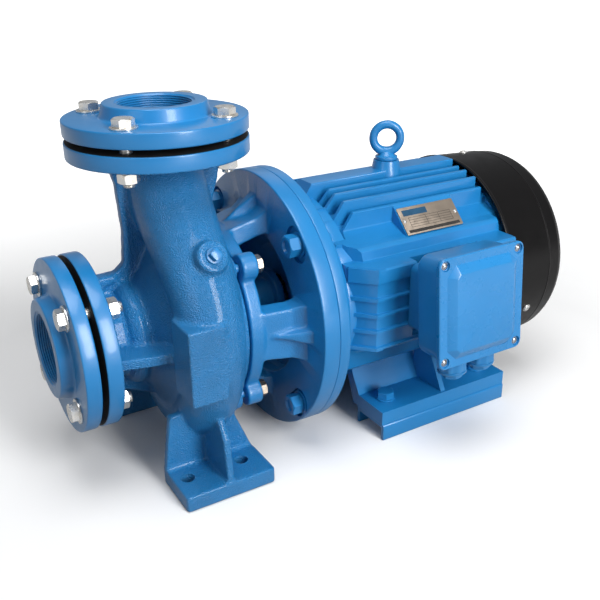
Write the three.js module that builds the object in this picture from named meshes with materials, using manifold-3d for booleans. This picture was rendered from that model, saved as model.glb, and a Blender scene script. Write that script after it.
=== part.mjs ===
// End-suction, close-coupled centrifugal water pump: a cast-iron volute casing on its own
// foot, a lantern bracket, and a totally enclosed fan-cooled motor on two steel rails.
// Millimetres, +Z up. Pieces are placed in the shaft frame: X along the shaft from the
// suction flange to the fan cowl, -Y the terminal-box side, zero where the shaft axis meets
// the discharge centreline. The whole group is then moved so that the origin is the middle
// of the footprint on the floor.
import * as THREE from "three";
import { mergeVertices } from "three/addons/utils/BufferGeometryUtils.js";
import Module from "manifold-3d";

const wasm = await Module();
wasm.setup();

// ---------------------------------------------------------------- driving dimensions
const SHAFT_HEIGHT = 152; // above the floor
const FLOOR = -SHAFT_HEIGHT;

// DN65 pipe flanges
const FLANGE_R = 92.5;
const FLANGE_BOLTS_R = 145 / 2;
const FLANGE_HOLE_R = 7; // M12 clearance
const WATERWAY_R = 32.5;
const FLANGE_T = 16; // on the casing
const RAISED_R = 60; // raised face
const RAISED_H = 2;
const FLANGE_GAP = 6.5; // between flange rims, with raised faces and gasket inside
const COMPANION_T = 15.5;
const HUB_R = 52; // companion flange hub
const HUB_H = 13.5;
const THREAD_R = 37; // 2 1/2" female thread, minor radius

// casing
const DISCHARGE_FACE = 202; // z of the flange rim
const SUCTION_FACE = -105; // x of the flange rim
const DISCHARGE_COMPANION = DISCHARGE_FACE + FLANGE_GAP;
const SUCTION_COMPANION = SUCTION_FACE - FLANGE_GAP;
const SCROLL_INNER_R = 73;
const STUD_CIRCLE_R = 104;
const FOOT_X0 = -53;
const FOOT_X1 = 49;
const FOOT_Y0 = 84;
const FOOT_Y1 = 138;
const FOOT_TOP = FLOOR + 18;
const FOOT_WEB_Y = FOOT_Y0 - 9;
const FOOT_HOLE_X = [-38, 24.5];
const FOOT_HOLE_Y = 105;
const FOOT_HOLE_R = 7.75;

// lantern bracket: ring with ears at the casing, disc at the motor
const RING_X0 = 46.3;
const RING_X1 = 62;
const RING_R = 101;
const EAR_X1 = 64.5;
const DISC_X0 = 104.5;
const DISC_X1 = 123.5;
const DISC_R = 150;

// motor
const MOTOR_FLANGE_X1 = 136.5;
const MOTOR_BOLTS_R = 265 / 2; // FF265
const FRAME_X0 = 160;
const FRAME_X1 = 388;
const CORE_X0 = 200; // seat of the stator core
const CORE_X1 = 322;
const EYE_X = 287; // lifting eye
const RAIL_H = 20;
const FEET_BASE = FLOOR + RAIL_H; // frame size 132
const FEET_TOP = FEET_BASE + 16.5;
const FEET_X0 = 192;
const FEET_X1 = 378.5;
const FEET_Y0 = 84;
const FEET_Y1 = 134.5;
const FEET_HOLE_X = [215.5, 355.5];
const FEET_HOLE_Y = 216 / 2;
const COWL_X0 = 382;
const COWL_SEAM = 451;
const COWL_X1 = 478;
const COWL_OPEN_R = 128;
const COWL_END_R = 124;
const TERMINAL_TILT = 4.9; // draft of the terminal box seat, degrees
const TERMINAL_AT = [267.5, -164.8, 23.4];

// ---------------------------------------------------------------- solid helpers
const vec = (x, y, z) => new THREE.Vector3(x, y, z);
const basis = (x, y, z) => new THREE.Matrix4().makeBasis(x, y, z);
const X_DIR = vec(1, 0, 0);
// turns local +Z onto the named axis
const AXIS = {
  x: basis(vec(0, 1, 0), vec(0, 0, 1), X_DIR),
  y: basis(X_DIR, vec(0, 0, -1), vec(0, 1, 0)),
  z: new THREE.Matrix4(),
};
// outlines are given as (Y, Z), (X, Z) and (X, Y); the middle one extrudes towards -Y
const PRISM_AXIS = { ...AXIS, y: basis(X_DIR, vec(0, 0, 1), vec(0, -1, 0)) };
const SIDES = [-1, 1]; // the -Y and +Y sides

function solid(geometry, matrix) {
  const flat = geometry.index ? geometry.toNonIndexed() : geometry;
  const bare = new THREE.BufferGeometry();
  bare.setAttribute("position", flat.getAttribute("position").clone());
  if (matrix) bare.applyMatrix4(matrix);
  const welded = mergeVertices(bare, 1e-3);
  const index = welded.index.array;
  const triangles = [];
  for (let i = 0; i < index.length; i += 3) {
    const [a, b, c] = index.slice(i, i + 3);
    if (a !== b && b !== c && a !== c) triangles.push(a, b, c);
  }
  const make = () => new wasm.Manifold(new wasm.Mesh({
    numProp: 3,
    vertProperties: welded.attributes.position.array,
    triVerts: new Uint32Array(triangles),
  }));
  const result = make();
  if (result.volume() >= 0) return result;
  // inside out: turn every triangle over
  for (let i = 0; i < triangles.length; i += 3) {
    [triangles[i + 1], triangles[i + 2]] = [triangles[i + 2], triangles[i + 1]];
  }
  return make();
}

const join = (...parts) => parts.reduce((sum, part) => sum.add(part));
const cut = (body, ...tools) => tools.reduce((rest, tool) => rest.subtract(tool), body);

function box([x0, x1], [y0, y1], [z0, z1]) {
  const size = [x1 - x0, y1 - y0, z1 - z0].map(Math.abs);
  return solid(new THREE.BoxGeometry(...size))
    .translate([(x0 + x1) / 2, (y0 + y1) / 2, (z0 + z1) / 2]);
}

// The centre is given in the two other directions. Radii run from the low end to the high one.
function cone(axis, lowR, highR, from, to, [p, q] = [0, 0], sides = 6, phase = 0) {
  const geometry = new THREE.CylinderGeometry(highR, lowR, Math.abs(to - from), sides);
  geometry.rotateX(Math.PI / 2);
  geometry.rotateZ(phase);
  const mid = (from + to) / 2;
  const place = { x: [mid, p, q], y: [p, mid, q], z: [p, q, mid] }[axis];
  return solid(geometry, AXIS[axis]).translate(place);
}
const cyl = (axis, radius, from, to, centre, sides, phase) =>
  cone(axis, radius, radius, from, to, centre, sides, phase);
const hex = (axis, acrossFlats, from, to, centre, phase) =>
  cyl(axis, acrossFlats / Math.sqrt(3), from, to, centre, 6, phase);

// body of revolution from a profile of [along axis, radius]
function rev(axis, profile, sides = 20) {
  const points = profile.map(([along, radius]) => new THREE.Vector2(radius, along));
  const geometry = new THREE.LatheGeometry(points, sides);
  geometry.rotateX(Math.PI / 2);
  return solid(geometry, AXIS[axis]);
}
const tube = (axis, innerR, outerR, from, to, sides) => rev(axis,
  [[from, innerR], [from, outerR], [to, outerR], [to, innerR], [from, innerR]], sides);

// straight extrusion of an outline; the ends may come in either order
function prism(axis, outline, end0, end1) {
  const low = Math.min(end0, end1);
  const high = Math.max(end0, end1);
  const shape = new THREE.Shape(outline.map(([a, b]) => new THREE.Vector2(a, b)));
  const geometry = new THREE.ExtrudeGeometry(shape, { depth: high - low, bevelEnabled: false });
  const shift = { x: [low, 0, 0], y: [0, high, 0], z: [0, 0, low] }[axis];
  return solid(geometry, PRISM_AXIS[axis]).translate(shift);
}
// an outline drawn for the +Y side, mirrored in its Y column for the -Y side
const forSide = (side, outline, column = 0) => (side > 0 ? outline
  : outline.map((point) => point.map((v, i) => (i === column ? -v : v))).reverse());

// skin through rings of points, closed with flat ends
function loft(rings) {
  const count = rings[0].length;
  const coords = [];
  const triangle = (...points) => points.forEach((p) => coords.push(p.x, p.y, p.z));
  for (let i = 0; i + 1 < rings.length; i++) {
    for (let j = 0; j < count; j++) {
      const next = (j + 1) % count;
      triangle(rings[i][j], rings[i][next], rings[i + 1][next]);
      triangle(rings[i][j], rings[i + 1][next], rings[i + 1][j]);
    }
  }
  const cap = (points, flip) => {
    const middle = points.reduce((sum, p) => sum.add(p), vec(0, 0, 0)).multiplyScalar(1 / count);
    for (let j = 0; j < count; j++) {
      const edge = [points[j], points[(j + 1) % count]];
      if (flip) edge.reverse();
      triangle(middle, ...edge);
    }
  };
  cap(rings[0], true);
  cap(rings[rings.length - 1], false);
  const geometry = new THREE.BufferGeometry();
  geometry.setAttribute("position", new THREE.Float32BufferAttribute(coords, 3));
  return solid(geometry);
}
// ellipse of points with radii uR and vR along the directions u and v
function ring(centre, u, v, uR, vR, count) {
  return Array.from({ length: count }, (_, j) => {
    const angle = (2 * Math.PI * j) / count;
    return centre.clone().addScaledVector(u, uR * Math.cos(angle))
      .addScaledVector(v, vR * Math.sin(angle));
  });
}
// four points on a circle, on the diagonals
const diagonals = (radius) => [[-1, -1], [1, -1], [1, 1], [-1, 1]]
  .map(([a, b]) => [a * radius * Math.SQRT1_2, b * radius * Math.SQRT1_2]);

// ---------------------------------------------------------------- materials and meshes
const MATERIALS = {
  cast: { color: 0x2f7cc0, roughness: 0.45, metalness: 0 },
  paint: { color: 0x3a86c8, roughness: 0.35, metalness: 0 },
  black: { color: 0x1c1c1e, roughness: 0.45, metalness: 0.2 },
  zinc: { color: 0xcfcabb, roughness: 0.3, metalness: 0.9 },
  steel: { color: 0xa9acb0, roughness: 0.35, metalness: 0.9 },
  iron: { color: 0x5b5d60, roughness: 0.6, metalness: 0.7 },
  lamination: { color: 0x7d8288, roughness: 0.5, metalness: 0.8 },
  copper: { color: 0xb06a35, roughness: 0.4, metalness: 0.8 },
  rubber: { color: 0x17181a, roughness: 0.85, metalness: 0 },
  plate: { color: 0xa08c74, roughness: 0.4, metalness: 0.7 },
  plastic: { color: 0x2a2b2d, roughness: 0.6, metalness: 0 },
  bronze: { color: 0x9c7a3c, roughness: 0.4, metalness: 0.8 },
  ceramic: { color: 0xe4e0d6, roughness: 0.4, metalness: 0 },
};
const root = new THREE.Group();
const shaftFrame = new THREE.Group();
root.add(shaftFrame);

function put(name, body, material, parent = shaftFrame) {
  const { vertProperties, triVerts } = body.getMesh();
  const geometry = new THREE.BufferGeometry();
  geometry.setAttribute("position",
    new THREE.BufferAttribute(new Float32Array(vertProperties), 3));
  geometry.setIndex(new THREE.BufferAttribute(new Uint32Array(triVerts), 1));
  geometry.computeVertexNormals();
  const mesh = new THREE.Mesh(geometry, new THREE.MeshStandardMaterial(MATERIALS[material]));
  mesh.name = name;
  parent.add(mesh);
}

// ---------------------------------------------------------------- volute casing
// swan neck up to the discharge: centre y, centre z, outside radius
const NECK = [
  [-103.4, 33, 33.5], [-95, 58, 34.5], [-79.5, 80, 35.5], [-60, 99, 37],
  [-41, 119, 39], [-22, 142, 40], [-8, 163, 40.5], [0, 190, 41],
];
const SCROLL_START = -285; // degrees; 0 is the -Y side, -90 underneath, -180 the +Y side
const SCROLL_STEP = 28.5;
const WALL = 8;
const scrollTubeR = (degrees) =>
  10 + 23 * Math.pow((degrees - SCROLL_START) / -SCROLL_START, 0.8);

// rings of the scroll and neck, for the outside skin or for the waterway
function voluteRings(outer, count) {
  const rings = [];
  for (let degrees = SCROLL_START; degrees <= 0; degrees += SCROLL_STEP) {
    const angle = (degrees * Math.PI) / 180;
    const tubeR = scrollTubeR(degrees);
    const radial = vec(0, -Math.cos(angle), Math.sin(angle));
    const centreR = SCROLL_INNER_R + tubeR - (outer ? 0 : 4);
    const radii = outer ? [tubeR, tubeR] : [tubeR - 4, Math.max(tubeR - WALL, 4)];
    rings.push(ring(radial.clone().multiplyScalar(centreR), radial, X_DIR, ...radii, count));
  }
  const last = NECK.length - 1;
  NECK.forEach(([y, z, outsideR], i) => {
    const before = NECK[Math.max(0, i - 1)];
    const after = NECK[Math.min(last, i + 1)];
    const along = i === last ? vec(0, 0, 1)
      : vec(0, after[0] - before[0], after[1] - before[1]).normalize();
    const across = vec(0, -along.z, along.y); // stays on the outer side of the bend
    const radius = outer ? outsideR : Math.min(outsideR - WALL, WATERWAY_R);
    rings.push(ring(vec(0, y, z), across, X_DIR, radius, radius, count));
  });
  if (!outer) {
    const top = vec(0, 0, DISCHARGE_FACE + 3);
    rings.push(ring(top, vec(0, -1, 0), X_DIR, WATERWAY_R, WATERWAY_R, count));
  }
  return rings;
}

// priming plug: round or square lengths along its slanting axis
const PLUG_DIR = vec(0, -0.86, 0.51);
const PLUG_BASE = vec(3, -79, 88).addScaledVector(PLUG_DIR, 24);
function plugLength(from, to, fromR, toR, count) {
  const ends = [[from, fromR], [to, toR]];
  return loft(ends.map(([distance, radius]) => {
    const centre = PLUG_BASE.clone().addScaledVector(PLUG_DIR, distance);
    return ring(centre, X_DIR, vec(0, 0.51, 0.86), radius, radius, count);
  }));
}

function casingFoot() {
  const web = [
    [FOOT_X0, FLOOR], [FOOT_X1, FLOOR], [FOOT_X1 - 1, FOOT_TOP], [29, -87],
    [22, -70], [-44.5, -70], [FOOT_X0, FOOT_TOP],
  ];
  const gussets = [ // (y, z), one for each of SIDES
    [[-FOOT_Y1 + 1, FOOT_TOP], [-FOOT_WEB_Y, FOOT_TOP], [-FOOT_WEB_Y, -60],
      [-105, -60], [-120, -70], [-130.5, -86]],
    [[FOOT_WEB_Y, FOOT_TOP], [FOOT_Y1 - 1, FOOT_TOP], [124, -86], [100, -62], [FOOT_WEB_Y, -60]],
  ];
  return SIDES.flatMap((side, i) => [
    box([FOOT_X0, FOOT_X1], [side * FOOT_Y0, side * FOOT_Y1], [FLOOR, FOOT_TOP]),
    prism("y", web, side * FOOT_Y0, side * FOOT_WEB_Y),
    prism("x", gussets[i], -6, 2),
  ]);
}

function casingRibs() {
  const start = SUCTION_FACE + 8;
  const above = [ // (x, z): suction side and motor side of the neck
    [[start, 40], [-40, 40], [-25, 186], [-52, 188], [-48, 100], [-52, 72], [start, 66]],
    [[20, 86], [36, 86], [50, 117], [61, 150], [68, 188], [20, 188]],
  ];
  const level = [ // (x, y): both sides of the suction neck
    [[start, -75], [start, -40], [-30, -40], [-30, -92], [-58, -86]],
    [[start, 40], [start, 75], [-58, 86], [-30, 92], [-30, 40]],
  ];
  return [
    ...above.map((outline) => prism("y", outline, -5, 5)),
    ...level.map((outline) => prism("z", outline, -5, 5)),
  ];
}

// Round stud lug with a neck towards the shaft. Neck factors are fractions of the stud radius.
function studLug([y, z], boss, neck, innerFactor, innerHalfWidth) {
  const point = (factor, offset) => [y * factor - z * offset, z * factor + y * offset];
  const outline = [
    point(innerFactor, innerHalfWidth), point(innerFactor, -innerHalfWidth),
    point(1, -0.135), point(1, 0.135),
  ];
  return join(cyl("x", 14.5, ...boss, [y, z], 8), prism("x", outline, ...neck));
}

function voluteCasing() {
  const core = rev("x", [
    [SUCTION_FACE - RAISED_H, 0], [SUCTION_FACE - RAISED_H, RAISED_R],
    [SUCTION_FACE, RAISED_R], [SUCTION_FACE, FLANGE_R],
    [SUCTION_FACE + FLANGE_T, FLANGE_R], [SUCTION_FACE + FLANGE_T, 45],
    [-62, 46], [-44, 56], [-32, 76], [-22, 95], [24, 95], [36, 98], [46, 98], [46, 0],
  ]);
  const cavity = rev("x", [
    [-120, 0], [-120, WATERWAY_R], [-36, WATERWAY_R], [-36, 48.5], [-22, 48.5],
    [-22, 60], [-18, 78.3], [31, 78.3], [31, 84], [50, 84], [50, 0],
  ]);
  const body = join(
    loft(voluteRings(true, 10)),
    core,
    ...casingFoot(),
    ...casingRibs(),
    box([-39, 0], [-137, -100], [-34, 47]), // flat pad on the -Y side
    plugLength(0, 16, 16, 15, 20),
    ...diagonals(STUD_CIRCLE_R).map((stud) => studLug(stud, [22, 39.5], [24, 39.5], 0.8, 0.14)),
    cyl("z", FLANGE_R, DISCHARGE_FACE - FLANGE_T, DISCHARGE_FACE, [0, 0], 20),
    cyl("z", RAISED_R, DISCHARGE_FACE - 1, DISCHARGE_FACE + RAISED_H, [0, 0], 20),
    cyl("z", 13, -128, -100, [0, 0], 8), // drain boss
  );
  const flangeHoles = diagonals(FLANGE_BOLTS_R).flatMap((hole) => [
    cyl("z", FLANGE_HOLE_R, DISCHARGE_FACE - 22, DISCHARGE_FACE + 4, hole),
    cyl("x", FLANGE_HOLE_R, SUCTION_FACE - 5, SUCTION_FACE + 21, hole),
  ]);
  const footHoles = SIDES.flatMap((side) => FOOT_HOLE_X.map((x) =>
    cyl("z", FOOT_HOLE_R, FLOOR - 1, FOOT_TOP + 1, [x, side * FOOT_HOLE_Y], 12)));
  return cut(
    body,
    loft(voluteRings(false, 6)),
    cavity,
    plugLength(2, 20, 8, 8, 12),
    ...diagonals(STUD_CIRCLE_R).map((stud) => cyl("x", 5.4, 25, 60, stud)),
    ...flangeHoles,
    cyl("z", 7, -135, -90),
    ...footHoles,
  );
}
put("volute_casing", voluteCasing(), "cast");

// ---------------------------------------------------------------- companion flanges
function dischargeCompanion() {
  const rim = DISCHARGE_COMPANION;
  const back = rim + COMPANION_T;
  return cut(
    join(
      cyl("z", FLANGE_R, rim, back, [0, 0], 20),
      cyl("z", RAISED_R, rim - RAISED_H, rim + 1, [0, 0], 20),
      cone("z", HUB_R + 3, HUB_R, back - 1, back + HUB_H, [0, 0], 20),
    ),
    cyl("z", THREAD_R, 180, 260, [0, 0], 20),
    ...diagonals(FLANGE_BOLTS_R).map((hole) => cyl("z", FLANGE_HOLE_R, 190, 230, hole)),
  );
}
function suctionCompanion() {
  const rim = SUCTION_COMPANION;
  const back = rim - COMPANION_T;
  return cut(
    join(
      cyl("x", FLANGE_R, back, rim, [0, 0], 20),
      cyl("x", RAISED_R, rim - 1, rim + RAISED_H, [0, 0], 20),
      cone("x", HUB_R, HUB_R + 3, back - HUB_H, back + 1, [0, 0], 20),
    ),
    cyl("x", THREAD_R, -160, -90, [0, 0], 20),
    ...diagonals(FLANGE_BOLTS_R).map((hole) => cyl("x", FLANGE_HOLE_R, -140, -100, hole)),
  );
}
put("discharge_companion_flange", dischargeCompanion(), "paint");
put("suction_companion_flange", suctionCompanion(), "paint");
put("discharge_gasket",
  tube("z", 35, 58, DISCHARGE_FACE + RAISED_H, DISCHARGE_COMPANION - RAISED_H, 16), "rubber");
put("suction_gasket",
  tube("x", 35, 58, SUCTION_COMPANION + RAISED_H, SUCTION_FACE - RAISED_H, 16), "rubber");

// head and nut are the faces they bear on; direction is +1 or -1, from nut to head
function flangeBolt(axis, centre, head, nut, direction) {
  return join(
    cyl(axis, 5.9, nut - direction * 17, head + direction * 2, centre),
    cyl(axis, 13, head, head + direction * 2.2, centre, 8),
    hex(axis, 19, head + direction * 2, head + direction * 10, centre, 0.3),
    hex(axis, 19, nut, nut - direction * 13.5, centre, 0.1),
  );
}
const FLANGE_BOLT_SETS = [ // name, axis, head face, nut face, direction
  ["discharge", "z", DISCHARGE_COMPANION + COMPANION_T, DISCHARGE_FACE - FLANGE_T, 1],
  ["suction", "x", SUCTION_COMPANION - COMPANION_T, SUCTION_FACE + FLANGE_T, -1],
];
for (const [name, axis, ...faces] of FLANGE_BOLT_SETS) {
  diagonals(FLANGE_BOLTS_R).forEach((centre, i) =>
    put(`${name}_bolt_${i + 1}`, flangeBolt(axis, centre, ...faces), "zinc"));
}

// threaded lengths with square heads
put("priming_plug",
  join(plugLength(4, 17.5, 7.8, 7.8, 12), plugLength(17, 24, 5.7, 5.4, 4)), "paint");
put("drain_plug",
  join(cyl("z", 6.8, -128.4, -112), cyl("z", 7, -135, -128, [0, 0], 4, Math.PI / 4)), "paint");

// ---------------------------------------------------------------- hydraulics
const IMPELLER_EYE_R = 38;
const RUNNING_CLEARANCE = 0.4; // radial
put("wear_ring", tube("x", IMPELLER_EYE_R + RUNNING_CLEARANCE, 47.7, -35.7, -22.5, 24), "bronze");

function impeller() {
  const hub = rev("x", [
    [-28, 12.2], [-28, 17], [-12, 20], [6, 40], [9, 70], [13, 70], [13, 24],
    [24, 20], [24, 12.2], [-28, 12.2],
  ], 16);
  const shroud = rev("x", [
    [-34, 33], [-34, IMPELLER_EYE_R], [-22, IMPELLER_EYE_R], [-16, 50], [-10, 70],
    [-6, 70], [-10, 50], [-18, 36], [-24, 33], [-34, 33],
  ], 16);
  // keeps the vanes between hub and shroud
  const envelope = rev("x", [
    [-26, 0], [-24, 34], [-18, 36.5], [-10, 51], [-7, 69.9],
    [10, 69.9], [7, 40], [0, 33], [0, 0],
  ], 16);
  // radius, degrees
  const vane = [[34, 0], [50, -26], [68.5, -50], [68.8, -46], [50, -20], [34, 7]];
  const vanes = [0, 1, 2, 3, 4, 5].map((k) => prism("x", vane.map(([radius, degrees]) => {
    const angle = ((k * 60 + degrees) * Math.PI) / 180;
    return [radius * Math.cos(angle), radius * Math.sin(angle)];
  }), -20, 10));
  return join(hub, shroud, ...vanes.map((blade) => blade.intersect(envelope)));
}
put("impeller", impeller(), "bronze");
put("impeller_nut",
  cut(join(hex("x", 22, -38, -28.3), cyl("x", 11, -44, -37.9)), cyl("x", 8.4, -45, -20)), "steel");
put("impeller_key", box([-6, 16], [-2.4, 2.4], [8.7, 11.7]), "steel");

// casing cover with the seal chamber, its gasket, and the mechanical seal
put("casing_gasket", tube("x", 79.4, 82.6, 31.2, 32.4), "rubber");
put("casing_cover", rev("x", [
  [26, 30], [26, 76], [32.7, 77.8], [32.7, 83.6], [46, 83.6], [46, 61.5], [58, 61],
  [58, 44], [66, 40], [66, 18], [60, 18], [60, 30], [26, 30],
]), "iron");
put("seal_stationary", tube("x", 16.6, 29.6, 48, 59.6, 24), "ceramic");
put("seal_rotating", tube("x", 12.3, 24, 26.3, 47.6, 24), "steel");

// ---------------------------------------------------------------- lantern bracket
function lanternBracket() {
  const disc = rev("x", [
    [DISC_X0, 88], [DISC_X0, DISC_R], [DISC_X1, DISC_R], [DISC_X1, 115.4],
    [DISC_X1 - 4.5, 115.4], [DISC_X1 - 4.5, 88], [DISC_X0, 88],
  ]);
  // four-cornered section at x: inner and outer y, half width at each
  const section = (x, innerY, outerY, innerHalf, outerHalf) => [
    vec(x, innerY, -innerHalf), vec(x, outerY, -outerHalf),
    vec(x, outerY, outerHalf), vec(x, innerY, innerHalf),
  ];
  const arm = join(
    loft([section(RING_X1 - 2, 78, 99, 29, 27), section(DISC_X0 + 1, 92, 114, 33, 31)]),
    loft([section(RING_X1 + 4, 97, 99, 1, 0.6), section(DISC_X0 + 1, 110, 127, 11, 8)]),
  );
  const studs = diagonals(STUD_CIRCLE_R);
  const bolts = diagonals(MOTOR_BOLTS_R);
  return cut(
    join(
      tube("x", 62, RING_R, RING_X0, RING_X1),
      disc,
      ...[0, 1, 2, 3].map((k) => arm.rotate([90 * k, 0, 0])),
      ...studs.map((stud) =>
        studLug(stud, [RING_X0, EAR_X1], [RING_X0, RING_X1], 0.85, 0.135)),
    ),
    ...studs.map((stud) => cyl("x", 5.6, 40, 70, stud)),
    ...bolts.map((bolt) => cyl("x", 16, DISC_X0 - 1, DISC_X0 + 4.5, bolt, 8)),
    ...bolts.map((bolt) => cyl("x", 7.5, DISC_X0 - 1, DISC_X1 + 1, bolt)),
  );
}
put("lantern_bracket", lanternBracket(), "cast");

diagonals(STUD_CIRCLE_R).forEach((centre, i) => put(`casing_stud_${i + 1}`, join(
  cyl("x", 5, 27, EAR_X1 + 3, centre),
  hex("x", 17, EAR_X1 + 0.2, EAR_X1 + 8.2, centre, 0.2),
), "zinc"));

const BOLT_SEAT = DISC_X0 + 4.2; // just clear of the spot face
diagonals(MOTOR_BOLTS_R).forEach((centre, i) => put(`motor_flange_bolt_${i + 1}`, join(
  cyl("x", 7, BOLT_SEAT - 3, MOTOR_FLANGE_X1 + 8, centre),
  cyl("x", 13.5, BOLT_SEAT - 4, BOLT_SEAT, centre, 8),
  hex("x", 21, BOLT_SEAT - 16, BOLT_SEAT - 3.7, centre, 0.25),
), "paint"));

// ---------------------------------------------------------------- motor, stationary
const SPIGOT_R = 95.2; // end shields in the frame
const flangeShield = rev("x", [
  [DISC_X1 - 4, 92], [DISC_X1 - 4, 115], [DISC_X1, 115], [DISC_X1, DISC_R],
  [MOTOR_FLANGE_X1, DISC_R], [MOTOR_FLANGE_X1, 122], [FRAME_X0 - 0.3, 116],
  [FRAME_X0 - 0.3, SPIGOT_R], [FRAME_X0 + 6, SPIGOT_R], [FRAME_X0 + 6, 90],
  [150, 86], [146, 56], [166, 52], [166, 41], [146, 41], [140, 38], [140, 24],
  [134, 24], [134, 60], [128, 88], [DISC_X1 - 4, 92],
]);
put("flange_end_shield",
  cut(flangeShield, ...diagonals(MOTOR_BOLTS_R).map((c) => cyl("x", 7.4, 115, 150, c))), "cast");

// constant section: vertical fins above and below, horizontal ridges on the side blocks
function frameSection() {
  const finRoot = (y) => [y, Math.sqrt(106 ** 2 - y * y)];
  const right = [ // (y, z) on the +Y side, from the top ridge down to the bottom
    [13, 129], finRoot(13),
    finRoot(23), [23, 123.2], [27, 122.6], finRoot(27),
    finRoot(36.5), [36.5, 121.3], [40.5, 120.6], finRoot(40.5),
    finRoot(53), [53, 116.7], [57, 115.9], finRoot(57),
    finRoot(63.5), [63.5, 106.4], [67.5, 105.7], [67.5, 86],
    [88, 77.2], [97, 75.6], [101, 71.5], [103, 61], [130, 61], [132, 59],
    [132, 45], [129, 44], [129, 28], [132, 27], [132, 24], [129, 23], [129, 9],
    [132, 8], [132, 5], [129, 4], [129, -10], [132, -11], [132, -14], [129, -15],
    [129, -31], [132, -32], [132, -34], [130, -36],
    [103, -40], [97, -69], [90, -75], [76, -80],
    [60, -96], [60, -100], [56, -101], [30, -104], [30, -118], [26, -118],
    [26, -103], [0, -106],
  ];
  return [...right, ...forSide(-1, right.slice(0, -1))];
}

// the fins start behind a plain collar, each with a sloping end
function finSlopes() {
  const start = FRAME_X0 - 2;
  const slopes = [ // y0, y1, then x, z at the top and at the foot of the slope
    [22, 46.5, 188.3, 121.9, 175.6, 107],
    [46.5, 60, 188.4, 116.2, 174.7, 97.3],
    [60, 86, 193.5, 106, 176, 81],
  ];
  // (x, y): side block with its ridges, and the shoulder above it
  const block = [[start, 100], [start, 150], [192, 150], [183, 132], [159, 106], [159, 100]];
  const shoulder = [[start, 84], [start, 120], [196, 120], [184, 104], [172, 90], [168, 84]];
  const topRidge = [[start, 118], [166, 118], [173, 130], [173, 140], [start, 140]];
  return [
    ...SIDES.flatMap((side) => [
      ...slopes.map(([y0, y1, topX, topZ, footX, footZ]) => prism("y", [
        [start, footZ], [footX, footZ], [topX, topZ], [topX + 12, topZ + 14], [start, topZ + 14],
      ], side * y0, side * y1)),
      prism("z", forSide(side, block, 1), -62, 61.5),
      prism("z", forSide(side, shoulder, 1), 61.5, 84),
    ]),
    prism("y", topRidge, -16, 16),
  ];
}

// slanted webs, gussets and pads
function motorFeet() {
  const web = [
    [76, FEET_BASE + 2], [87, FEET_BASE + 2], [87, -114.5], [73.5, -92], [70, -78], [58, -84],
  ];
  const gusset = [[76, FEET_TOP - 1], [FEET_Y1 - 2, FEET_TOP - 1], [105, -66], [80, -66]];
  return SIDES.flatMap((side) => [
    box([FEET_X0, FEET_X1], [side * FEET_Y0, side * FEET_Y1], [FEET_BASE, FEET_TOP]),
    prism("x", forSide(side, web), FEET_X0, FEET_X1 - 6),
    prism("x", forSide(side, gusset), 280, 286.5),
  ]);
}

function motorFrame() {
  const fanEndTrim = rev("x", [
    [380, 116], [380, 240], [FRAME_X1 + 2, 240], [FRAME_X1 + 2, 116], [380, 116],
  ]);
  const bore = rev("x", [
    [FRAME_X0 - 2, 0], [FRAME_X0 - 2, 96.3], [CORE_X0, 96.3], [CORE_X0, 92.3],
    [CORE_X1, 92.3], [CORE_X1, 96.3], [FRAME_X1 + 2, 96.3], [FRAME_X1 + 2, 0],
  ], 24);
  const finned = cut(prism("x", frameSection(), FRAME_X0, FRAME_X1), ...finSlopes(), fanEndTrim);
  const body = join(
    finned,
    tube("x", 100, 112.7, FRAME_X0, 175), // collar
    ...motorFeet(),
    cone("z", 17.8, 15.3, 100, 139, [EYE_X, 0], 16), // eye-bolt boss
    prism("x", [[-66, 80], [-92, 66], [-98, 74.1], [-66, 106.1]], 247.5, 330.5), // nameplate pad
  );
  const feetHoles = SIDES.flatMap((side) => FEET_HOLE_X.map((x) =>
    cyl("z", 6.5, FEET_BASE - 1, FEET_TOP + 1, [x, side * FEET_HOLE_Y])));
  return cut(body, bore, cyl("z", 6, 124, 142, [EYE_X, 0]), ...feetHoles);
}
put("motor_frame", motorFrame(), "paint");

put("rear_end_shield", rev("x", [
  [0.3, 114], [8, 114], [8, 60], [2, 52], [2, 24], [-3, 24], [-3, 41], [-22, 41],
  [-22, 52], [-8, 56], [-6, SPIGOT_R], [0.3, SPIGOT_R], [0.3, 114],
].map(([offset, radius]) => [FRAME_X1 + offset, radius])), "cast");
put("stator_core", tube("x", 62, 92, CORE_X0 + 0.3, CORE_X1 - 0.3, 24), "lamination");
put("winding_drive_end", rev("x", [
  [176, 68], [174, 74], [176, 86], [CORE_X0 - 0.1, 88], [CORE_X0 - 0.1, 66], [176, 68],
]), "copper");
put("winding_fan_end", rev("x", [
  [CORE_X1 + 0.1, 66], [CORE_X1 + 0.1, 88], [346, 86], [348, 74], [346, 68],
  [CORE_X1 + 0.1, 66],
]), "copper");

const BEARING_W = 18;
const BEARINGS = [["drive_end", 147], ["fan_end", FRAME_X1 - 21.5]]; // place, start x
const RACES = [["outer", 33, 40.1, 0], ["inner", 20.4, 32.4, 0.5]]; // name, radii, end inset
for (const [race, innerR, outerR, inset] of RACES) {
  for (const [place, x] of BEARINGS) {
    put(`bearing_${place}_${race}`,
      tube("x", innerR, outerR, x + inset, x + BEARING_W - inset, 24), "steel");
  }
}

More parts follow.
